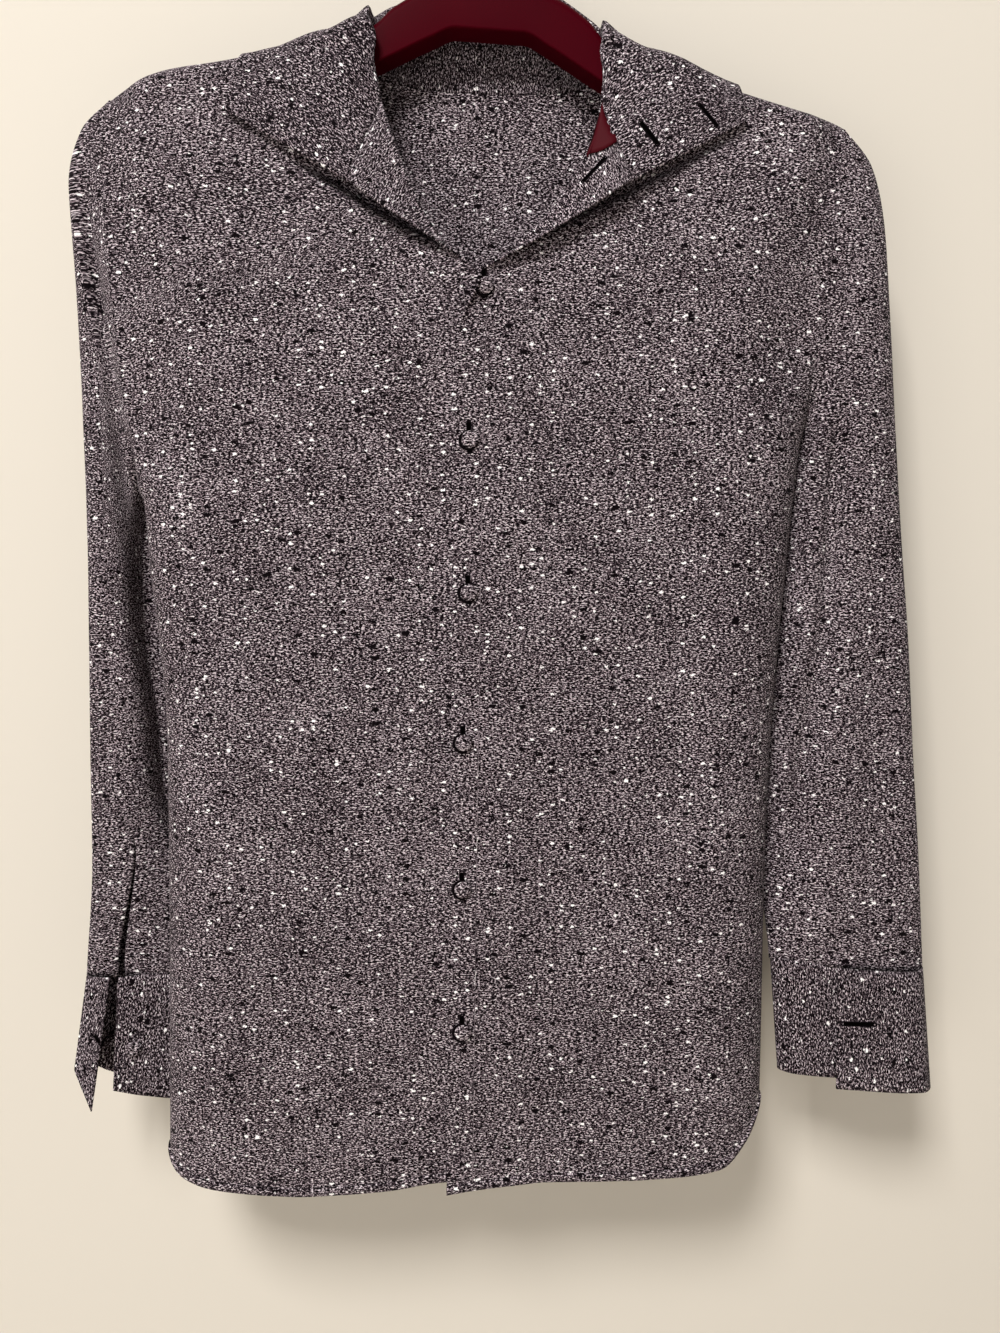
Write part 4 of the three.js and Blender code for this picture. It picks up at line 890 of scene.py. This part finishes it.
# The sleeves: each one panel, seamed lengthwise into a tube and set into its armhole. The right
# one hangs partly behind the body and is open above its cuff along a slit.
# Sections down each sleeve: its outer and inner edge, and its depth at the front and behind.
SLEEVE_COLUMNS = "at outer_x outer_z inner_x inner_z front_out front_in back_out back_in back_x"
SLEEVE_LEFT = table(SLEEVE_COLUMNS, [
    (0.1, 233, -165, 195.5, -335, -9, -9, 14, 14, 195.5),
    (0.2, 242, -200, 195, -350, -10, -10, 16, 16, 195),
    (0.32, 247, -255, 193, -375, -11, -11, 17, 17, 193),
    (0.45, 252, -320, 190, -415, -11, -11, 17, 17, 190),
    (0.58, 258, -395, 186.5, -465, -11, -10, 16, 17, 186.5),
    (0.7, 264.5, -465, 183, -520, -11, -10, 15, 16, 183),
    (0.8, 269.5, -535, 181.5, -570, -10, -9, 14, 15, 181.5),
    (0.9, 275.5, -608, 178.5, -625, -9, -8, 13, 14, 178.5),
    (1, 280.3, -682.5, 179.3, -674.5, -8, -7, 12, 12, 179.3),
])
SLEEVE_RIGHT = table(SLEEVE_COLUMNS, [
    (0.1, -262, -144.5, -234, -373, -8, -6, 10, 14, -234),
    (0.2, -271, -176, -236, -383, -8, -3, 14, 20, -233),
    (0.32, -269, -230, -238, -400, -7, -1, 17, 25, -226),
    (0.45, -267.5, -300, -239.5, -425, -6, 0, 19, 28, -218),
    (0.58, -267, -385, -239, -462, -5, 2, 20, 30, -211),
    (0.7, -268.5, -465, -233, -510, -4, 5, 21, 31, -206),
    (0.8, -270.5, -535, -229, -565, -2, 9, 22, 33, -198),
    (0.9, -272, -610, -206, -630, 0, 23, 22, 36, -188),
    (1, -279, -690, -180, -692, 4, 27, 22, 38, -178),
])
SLEEVE_LEFT_TROUGHS = table(TROUGH_COLUMNS, [
    (215, -300, 211, -480, 6, 4.5),
    (211, -440, 192, -625, 6, 4.5),
    (236, -380, 248, -660, 14, 1.8),
])
SLEEVE_RIGHT_TROUGHS = table(TROUGH_COLUMNS, [
    (-261, -170, -246, -300, 4.5, 3.2),
    (-246, -270, -240, -420, 4.5, 3.2),
    (-256, -430, -262, -660, 7, 1.6),
])
ARMHOLE_GAP = 0.3
VALLEY, VALLEY_BEHIND = 1.9, -0.5
RIPPLE, RIPPLE_SIZE, RIPPLE_SEED = 0.9, 34, 13
INNER_EDGE = {
    "left": {"power": 4, "rows": (318, 360, 590, 680), "tuck": 6.5, "behind": 9},
    "right": {"power": 22, "rows": (300, 350, 580, 680), "tuck": 0, "behind": 23},
}
SLIT_LIP_COLUMNS, SLIT_LIP_RISE = 4.0, 0.6
SLEEVE_ROWS = np.linspace(0, 1, 150)


def sleeve_ring(side, sections, row, part, face_front):
    """The places round one section, by the share of the way from its outer to its inner edge."""
    outward = -1 if side == "right" else 1
    if row == 0:
        x, z = side_along(side, part)
        front, back = side_at(side, z)[1:]
        y = np.where(part == 0, 0, np.where(part == 1, SIDE_SEAM_DEPTH, np.where(face_front, front, back)))
        return x + outward * (ARMHOLE_GAP + 0.9 * smooth(0.8, 1, part)), y, z + 0.3 * (part == 0)
    cell = {name: values[row - 1] for name, values in sections.items()}
    end = np.where(part == 1, (cell["inner_x"] + cell["back_x"]) / 2,
                   np.where(face_front, cell["inner_x"], cell["back_x"]))
    front = mix(cell["front_out"], cell["front_in"], part)
    back = mix(cell["back_out"], cell["back_in"], part)
    fullness = np.sqrt(np.maximum(0, 1 - np.abs(2 * part - 1) ** 2.5))
    half = np.where(face_front, front - back, back - front) / 2
    y = (front + back) / 2 + half * fullness
    return mix(cell["outer_x"], end, part), y, mix(cell["outer_z"], cell["inner_z"], part)


def sleeve_grid(side, sections, troughs, slit=None):
    """The points of a sleeve. Its grid starts and ends at its seam, or at its slit."""
    layer = (1 - np.cos(np.linspace(0, math.pi, 49))) / 2
    part = np.concatenate([layer, layer[-2::-1]])
    face_front = np.arange(len(part)) < len(layer)
    ends = np.concatenate([[0], sections["at"]])
    rings = np.array([stack(*sleeve_ring(side, sections, row, part, face_front)) for row in range(len(ends))])
    lines = [[read({"at": ends, "value": line}, "value", SLEEVE_ROWS) for line in rings[..., axis].T]
             for axis in range(3)]
    points = np.array(lines).transpose(2, 1, 0)
    free = smooth(0, 0.12, SLEEVE_ROWS)[:, None] * np.sqrt(np.maximum(0, 1 - (2 * part - 1) ** 4))
    depth = trough_depth(troughs, points[..., 0], points[..., 2]) * free
    ripple = unevenness(points[..., 0], points[..., 2], RIPPLE_SIZE, RIPPLE_SEED) * RIPPLE * free
    points[..., 1] += np.where(face_front, VALLEY, VALLEY_BEHIND) * depth + ripple
    dip = INNER_EDGE[side]
    inner = part ** dip["power"] * window(*dip["rows"], -points[..., 2])
    points[..., 0] -= dip["tuck"] * inner
    points[..., 1] += dip["behind"] * inner
    count = len(part) - 1
    start = np.full(len(SLEEVE_ROWS), len(layer) - 1.0)
    if slit:
        opened = smooth(slit["from"], 1, SLEEVE_ROWS) ** 0.7
        start = np.interp(mix(slit["top"], slit["foot"], opened), layer, np.arange(len(layer)))
    shifted = np.zeros_like(points)
    for row, first in enumerate(start):
        places = np.mod(first + np.arange(count + 1), count)
        for axis in range(3):
            shifted[row, :, axis] = np.interp(places, np.arange(count + 1), points[row, :, axis])
    shifted[:, -1] = shifted[:, 0]
    if slit:
        lip = np.exp(-np.arange(count + 1) / SLIT_LIP_COLUMNS)
        gap = slit["gap"] * np.maximum(0, SLEEVE_ROWS - slit["from"])[:, None] / (1 - slit["from"])
        shifted[..., 0] += gap * (lip - lip[::-1]) / 2
        shifted[..., 1] += gap * SLIT_LIP_RISE * lip
    return shifted


sleeve_points = {
    "left": sleeve_grid("left", SLEEVE_LEFT, SLEEVE_LEFT_TROUGHS),
    "right": sleeve_grid("right", SLEEVE_RIGHT, SLEEVE_RIGHT_TROUGHS,
                         {"from": 0.86, "top": 0.5, "foot": 0.24, "gap": 4}),
}
for side, shift, area in (("left", 2400, 0.092), ("right", 3100, 0.078)):
    sleeve_flat = grain(sleeve_points[side], sleeve_points[side].shape[1] * 3 // 4, wrapped=False)
    sleeve = grid_piece(f"sleeve_{side}_tube", sleeve_points[side], sleeve_flat + (shift, 0))
    sew(sleeve, CLOTH, shirt_crepe, "shirt_cloth", (0.21, 0.56), area, f"sleeve_{side}")


# The cuffs: doubled bands like the collar. The left one is lapped, the right one hangs open with
# its buttonhole end turned out.
# Round each cuff: its top and its lower edge.
CUFF_COLUMNS = "at top_x top_y top_z low_x low_y low_z"
CUFF_LEFT = table(CUFF_COLUMNS, [
    (0, 246, -6.3, -680.6, 250, -6.3, -754),
    (0.12, 215, -6.8, -678.2, 220, -6.8, -752),
    (0.25, 190, -5, -676.2, 196, -5, -750.5),
    (0.31, 180.4, 2.3, -675.3, 186.5, 2.3, -750),
    (0.37, 190, 10, -676.2, 196, 10, -750.5),
    (0.5, 230, 12, -679, 236, 12, -753.5),
    (0.62, 270, 10.5, -682.2, 277, 10.5, -760),
    (0.68, 280.3, 2, -683.2, 287.5, 2, -761.5),
    (0.74, 272, -9, -682.6, 279, -9.5, -761),
    (0.86, 250, -12, -681.2, 255, -12.4, -759.5),
    (1, 220, -12, -679, 220.5, -12.4, -757),
])
CUFF_RIGHT = table(CUFF_COLUMNS, [
    (0, -257, 8, -693, -260, 3, -766),
    (0.12, -238, 13, -692.6, -242, 10, -773),
    (0.28, -208, 21, -692.6, -212, 18, -779),
    (0.38, -186, 27, -693, -189, 24, -780),
    (0.43, -179.5, 32.5, -693, -182, 31, -780),
    (0.48, -188, 36.3, -693, -190, 35, -779),
    (0.62, -225, 29.5, -692.6, -226, 29, -774),
    (0.78, -262, 23.5, -692.4, -268, 19, -760),
    (0.86, -277, 17, -691.6, -284, 10, -748),
    (0.92, -277.5, 8.5, -691.6, -283.5, 0, -750),
    (1, -261, 5, -692.4, -272, -4, -777),
])
CUFF_ROUND = np.linspace(0, 1, 110)[:, None]
CUFF_DOWN = np.linspace(-0.035, 1, 24)
cuff_grids = {}
for side, rows in (("left", CUFF_LEFT), ("right", CUFF_RIGHT)):
    cuff_edges = [read_place(rows, CUFF_ROUND, edge) for edge in ("top_", "low_")]
    cuff_points = mix(*cuff_edges, CUFF_DOWN[None, :, None])
    cuff = grid_piece(f"cuff_{side}_band", cuff_points, band_flat(cuff_points) + (4300, 900))
    sew(cuff, COLLAR_CLOTH, collar_crepe, "collar_cloth", (0.245, 0.08), 0.0185, f"cuff_{side}")
    cuff_grids[side] = cuff_points


# The buttons: domes covered with the shirt's own cloth, on shanks. Six close the front; the rest
# are on the hidden faces of the right lapel and collar end, and on the cuffs.
BUTTON_DIAMETER, BUTTON_THICKNESS = 10.5, 3
BUTTON_PROFILE = [(0, -0.2), (0.6, -0.2), (0.62, 0.1), (0.84, 0.16), (0.97, 0.28), (1, 0.4), (0.97, 0.56),
                  (0.88, 0.72), (0.7, 0.86), (0.45, 0.95), (0.2, 0.99), (0, 1)]
BUTTON_SEAT, COLLAR_BUTTON_SEAT, CUFF_BUTTON_SEAT = 1.3, 1.4, 1.25
BUTTON_PALER = 0.02
LAPEL_BUTTON_ROW, LAPEL_BUTTON_PART = 0.07, 0.7
COLLAR_BUTTON_AT, COLLAR_BUTTON_STEPS = 0.045, {1: 2, 2: 28}
CUFF_BUTTON_CELLS = {"left": (6, 12), "right": (8, 14)}
FRONT_BUTTONS = [(-9, -247), (-18.3, -339.5), (-19.1, -432.5), (-22.4, -525.5), (-23.3, -618.5),
                 (-23.5, -711)]
button_crepe = crepe("covered_button_crepe", darker=-BUTTON_PALER)


def button(node, place, normal):
    """A covered button with its back on a place, facing along a normal."""
    mesh = bmesh.new()
    line = [mesh.verts.new((r * BUTTON_DIAMETER / 2000, 0, h * BUTTON_THICKNESS / 1000))
            for r, h in BUTTON_PROFILE]
    edges = [mesh.edges.new(pair) for pair in zip(line, line[1:])]
    bmesh.ops.spin(mesh, geom=line + edges, cent=(0, 0, 0), axis=(0, 0, 1), angle=math.tau, steps=28)
    bmesh.ops.remove_doubles(mesh, verts=mesh.verts, dist=WELD)
    bmesh.ops.recalc_face_normals(mesh, faces=mesh.faces)
    cut_from = Vector((place[0] / 900, place[2] / 700))
    lay_flat(mesh, lambda vertex: vertex.co.xy + cut_from)
    turn = Vector((0, 0, 1)).rotation_difference(Vector(normal)).to_matrix().to_4x4()
    bmesh.ops.transform(mesh, matrix=Matrix.Translation(Vector(place) / 1000) @ turn, verts=mesh.verts)
    dress(finished(f"{node}_cover", mesh), button_crepe, "button_cloth", node)


def button_on(node, grid_corner, beside, below, seat, away):
    """A button on a panel, whose face turns to the viewer (-1) or away (1)."""
    normal = np.cross(beside - grid_corner, below - grid_corner)
    normal *= away * np.sign(normal[1]) / np.linalg.norm(normal)
    button(node, grid_corner + normal * seat, normal)


for number, (x, z) in enumerate(FRONT_BUTTONS, 1):
    y = float(body_depth("front", np.array(x), np.array(z)) - overlap(x)) - BUTTON_SEAT
    button(f"button_front_{number}", (x, y, z), (0, -1, 0))
button_on("button_lapel", lapel_point("right", LAPEL_BUTTON_ROW, LAPEL_BUTTON_PART),
          lapel_point("right", LAPEL_BUTTON_ROW, LAPEL_BUTTON_PART + 0.2),
          lapel_point("right", LAPEL_BUTTON_ROW + 0.03, LAPEL_BUTTON_PART), BUTTON_SEAT, 1)
for number, step in COLLAR_BUTTON_STEPS.items():
    section, beside = collar_section(COLLAR_BUTTON_AT), collar_section(COLLAR_BUTTON_AT + 0.02)
    button_on(f"button_collar_{number}", section[step], beside[step], section[step + 3],
              COLLAR_BUTTON_SEAT, 1)
for side, (column, row) in CUFF_BUTTON_CELLS.items():
    cuff_points = cuff_grids[side]
    button_on(f"button_cuff_{side}", cuff_points[column, row], cuff_points[column + 3, row],
              cuff_points[column, row + 3], CUFF_BUTTON_SEAT, -1)


# The buttonholes: slits bound with close stitches of matching thread.
HOLE_WIDTH, THREAD, SLIT_LIFT = 2.6, 0.8, 0.12
FRONT_HOLE_TOP, FRONT_HOLE_FOOT = 10.5, 7.2
# The thread's colour, which also paints the shade rings round the front buttons.
THREAD_AND_SHADE_COLOUR = "#0b0609"
SHADE_COLOUR = "#020101"

# Close stitches of matt, nearly black thread, which also makes the painted shade round each front button, and
# the unlit inside of a slit.
thread_and_shade = new_material("bound_thread_and_painted_shade")
place = add(thread_and_shade, "TexCoord").outputs["Object"]
twist = add(thread_and_shade, "TexNoise", {"Scale": 2500, "Detail": 1}, {"Vector": place})
wound = add(thread_and_shade, "Bump", {"Strength": 0.5, "Distance": 0.0002}, {"Height": twist})
thread_face = add(thread_and_shade, "BsdfPrincipled", {"Base Color": linear(THREAD_AND_SHADE_COLOUR), "Roughness": 0.9,
                                             "Specular IOR Level": 0.05}, {"Normal": wound})
add(thread_and_shade, "OutputMaterial", {}, {"Surface": thread_face})
shade = new_material("slit_shade")
shade_face = add(shade, "BsdfPrincipled", {"Base Color": linear(SHADE_COLOUR), "Roughness": 0.95,
                                           "Specular IOR Level": 0.02})
add(shade, "OutputMaterial", {}, {"Surface": shade_face})


def buttonhole(name, target, start, end, width=HOLE_WIDTH):
    """A bound slit on a piece's face between two places given by X and Z."""
    start, end = np.array(start, float), np.array(end, float)
    way = (end - start) / np.linalg.norm(end - start)
    side = np.array([-way[1], way[0]]) * width / 2
    half = np.linspace(0, 1, 13)
    turns = np.radians(np.linspace(90, -90, 7))[1:-1]
    outline = []
    for first, last, facing in ((start, end, 1), (end, start, -1)):
        outline += [mix(first, last, t) + facing * side for t in half]
        outline += [last + facing * (side * math.sin(a) + way * width / 2 * math.cos(a)) for a in turns]
    line = np.array([dropped(target, *spot) for spot in outline])
    dress(wire(f"{name}_binding", line, THREAD / 2, ring=True), thread_and_shade, "button_cloth")
    across = np.array([[dropped(target, *(mix(start, end, t) + side * s)) for s in (-0.8, 0, 0.8)]
                       for t in half])
    # The slit's inside is a near-black sheet: painted shade.
    slit = grid_piece(f"{name}_slit", across - (0, SLIT_LIFT, 0))
    if any(polygon.normal.y > 0 for polygon in slit.data.polygons):
        slit.data.flip_normals()
    dress(slit, shade, "button_cloth")


# Round each front button runs a dark ring of near-black thread-coloured wire, set off to the lower left:
# painted shade for the shadow that the button's edge casts on the cloth.
SHADE_RING_RADIUS, SHADE_RING_SHIFT, SHADE_RING_LIFT, SHADE_RING_WIRE = 5.4, 1.0, 0.5, 0.85
shade_ring_turns = np.radians(np.arange(0, 360, 12))
record_faces("cuff_left_band", "cuff_right_band")
for number, (x, z) in enumerate(FRONT_BUTTONS, 1):
    buttonhole(f"front_hole_{number}", "front_left_panel", (x - 0.8, z + FRONT_HOLE_TOP),
               (x - 0.2, z - FRONT_HOLE_FOOT))
    # Each button's ring of painted shade, laid on the left front just round it.
    lip = np.array([dropped("front_left_panel", x - SHADE_RING_SHIFT + SHADE_RING_RADIUS * math.cos(a),
                            z - SHADE_RING_SHIFT / 2 + SHADE_RING_RADIUS * math.sin(a)) for a in shade_ring_turns])
    dress(wire(f"front_button_shade_ring_{number}", lip - (0, SHADE_RING_LIFT, 0), SHADE_RING_WIRE, ring=True), thread_and_shade, "button_cloth")
for name, target, start, end, width in (
        ("collar_hole_1", "collar_band", (85, -149), (95, -163), 2.6),
        ("collar_hole_2", "collar_band", (121, -137.5), (132, -151), 2.0),
        ("lapel_hole", "front_left_panel", (63.5, -171), (50, -185), 1.8),
        ("cuff_left_hole", "cuff_left_band", (224, -713), (244, -713.5), 2.6),
        ("cuff_right_hole", "cuff_right_band", (-270.5, -727), (-266, -733), 1.8)):
    buttonhole(name, target, start, end, width)


# The hems: the lower edges of the fronts and the back, rolled narrow and stitched.
HEM_ROLL = 5.0
HEM_CLOTH = 0.0004
HEM_PROFILE = [(HEM_ROLL, 0.5), (HEM_ROLL - 0.2, 1.3), (HEM_ROLL / 2, 1.6), (0.6, 1.35),
               (-0.5, 0.8), (-0.8, 0)]
HEM_PROFILE += [(up, -off) for up, off in HEM_PROFILE[-2::-1]]
for name, points in (("front_right", front_points["right"]), ("front_left", front_points["left"]),
                     ("back", back_points)):
    foot = points[-1]
    way = points[-4] - foot
    way /= np.linalg.norm(way, axis=1)[:, None]
    normal = np.cross(np.gradient(foot, axis=0), way)
    normal *= (-np.sign(normal[:, 1]) / np.linalg.norm(normal, axis=1))[:, None]
    strip = np.stack([foot + way * up + normal * off for up, off in HEM_PROFILE])
    flat = np.stack([foot[:, ::2] * (1, -1) - (0, up) for up, off in HEM_PROFILE])
    hem_strip = grid_piece(f"hem_{name}", strip, flat)
    rolled = hem_strip.modifiers.new("thickness", "SOLIDIFY")
    rolled.thickness, rolled.offset = HEM_CLOTH, 0
    dress(hem_strip, shirt_crepe, "shirt_cloth")


# The floor and the wall behind: plain, pale and matt. The wall is clear from behind, so that the
# back of the shirt can be seen too.
WALL_COLOUR = "#dcd5ca"
plaster = new_material("painted_plaster")
place = add(plaster, "TexCoord").outputs["Object"]
rough = add(plaster, "TexNoise", {"Scale": 60, "Detail": 4}, {"Vector": place})
height = add(plaster, "Bump", {"Strength": 0.05, "Distance": 0.001}, {"Height": rough})
paint = add(plaster, "BsdfPrincipled", {"Base Color": linear(WALL_COLOUR), "Roughness": 0.9,
                                        "Specular IOR Level": 0.1}, {"Normal": height})
facing = add(plaster, "NewGeometry").outputs["Backfacing"]
wall_face = add(plaster, "MixShader", {}, {0: facing, 1: paint, 2: add(plaster, "BsdfTransparent")})
add(plaster, "OutputMaterial", {}, {"Surface": wall_face})

WALL_Y, FLOOR_Z, ROOM_HALF = 0.075, -1.45, 4
room = bmesh.new()
bmesh.ops.create_grid(room, x_segments=1, y_segments=1, size=ROOM_HALF)
bmesh.ops.transform(room, matrix=Matrix.Translation((0, WALL_Y - ROOM_HALF, FLOOR_Z)), verts=room.verts)
back_edge = [edge for edge in room.edges if all(v.co.y > WALL_Y - 0.1 for v in edge.verts)]
raised = bmesh.ops.extrude_edge_only(room, edges=back_edge)["geom"]
raised = [made for made in raised if isinstance(made, bmesh.types.BMVert)]
bmesh.ops.translate(room, vec=(0, 0, ROOM_HALF), verts=raised)
for face in room.faces:
    face.normal_update()
    if face.normal.z < -0.5 or face.normal.y > 0.5:
        face.normal_flip()
backdrop = finished("backdrop", room)
backdrop.data.materials.append(plaster)


# The light: daylight from a high window at the upper left, soft light from low on the left, and
# an even glow from the room's pale walls.
AIR_COLOUR, AIR_STRENGTH = (1.0, 0.985, 0.96, 1), 0.175
LAMP_COLOUR, LAMPS_FACE = (1.0, 0.98, 0.95), Vector((0, 0, -0.42))
LAMPS = {
    "window": {"place": (-1.0, -2.6, 2.2), "size": 1.1, "watts": 147},
    "room": {"place": (-1.2, -2.2, -0.9), "size": 1.6, "watts": 16},
}
scene = bpy.context.scene
scene.world = bpy.data.worlds.new("room")
scene.world.use_nodes = True
air = scene.world.node_tree.nodes["Background"]
air.inputs[0].default_value, air.inputs[1].default_value = AIR_COLOUR, AIR_STRENGTH
for name, light in LAMPS.items():
    lamp = bpy.data.lights.new(name, "AREA")
    lamp.size, lamp.energy, lamp.color = light["size"], light["watts"], LAMP_COLOUR
    holder = bpy.data.objects.new(name, lamp)
    holder.location = light["place"]
    holder.rotation_euler = (LAMPS_FACE - holder.location).to_track_quat("-Z", "Y").to_euler()
    scene.collection.objects.link(holder)

# The camera stands before the chest and looks down a little, as in the photo.
scene.view_settings.view_transform = "Standard"
camera = bpy.data.objects.new("camera", bpy.data.cameras.new("camera"))
camera.data.lens = 27.03
camera.location = (0, -0.648, -0.435)
camera.rotation_euler = (math.radians(86), 0, 0)
scene.collection.objects.link(camera)
scene.camera = camera
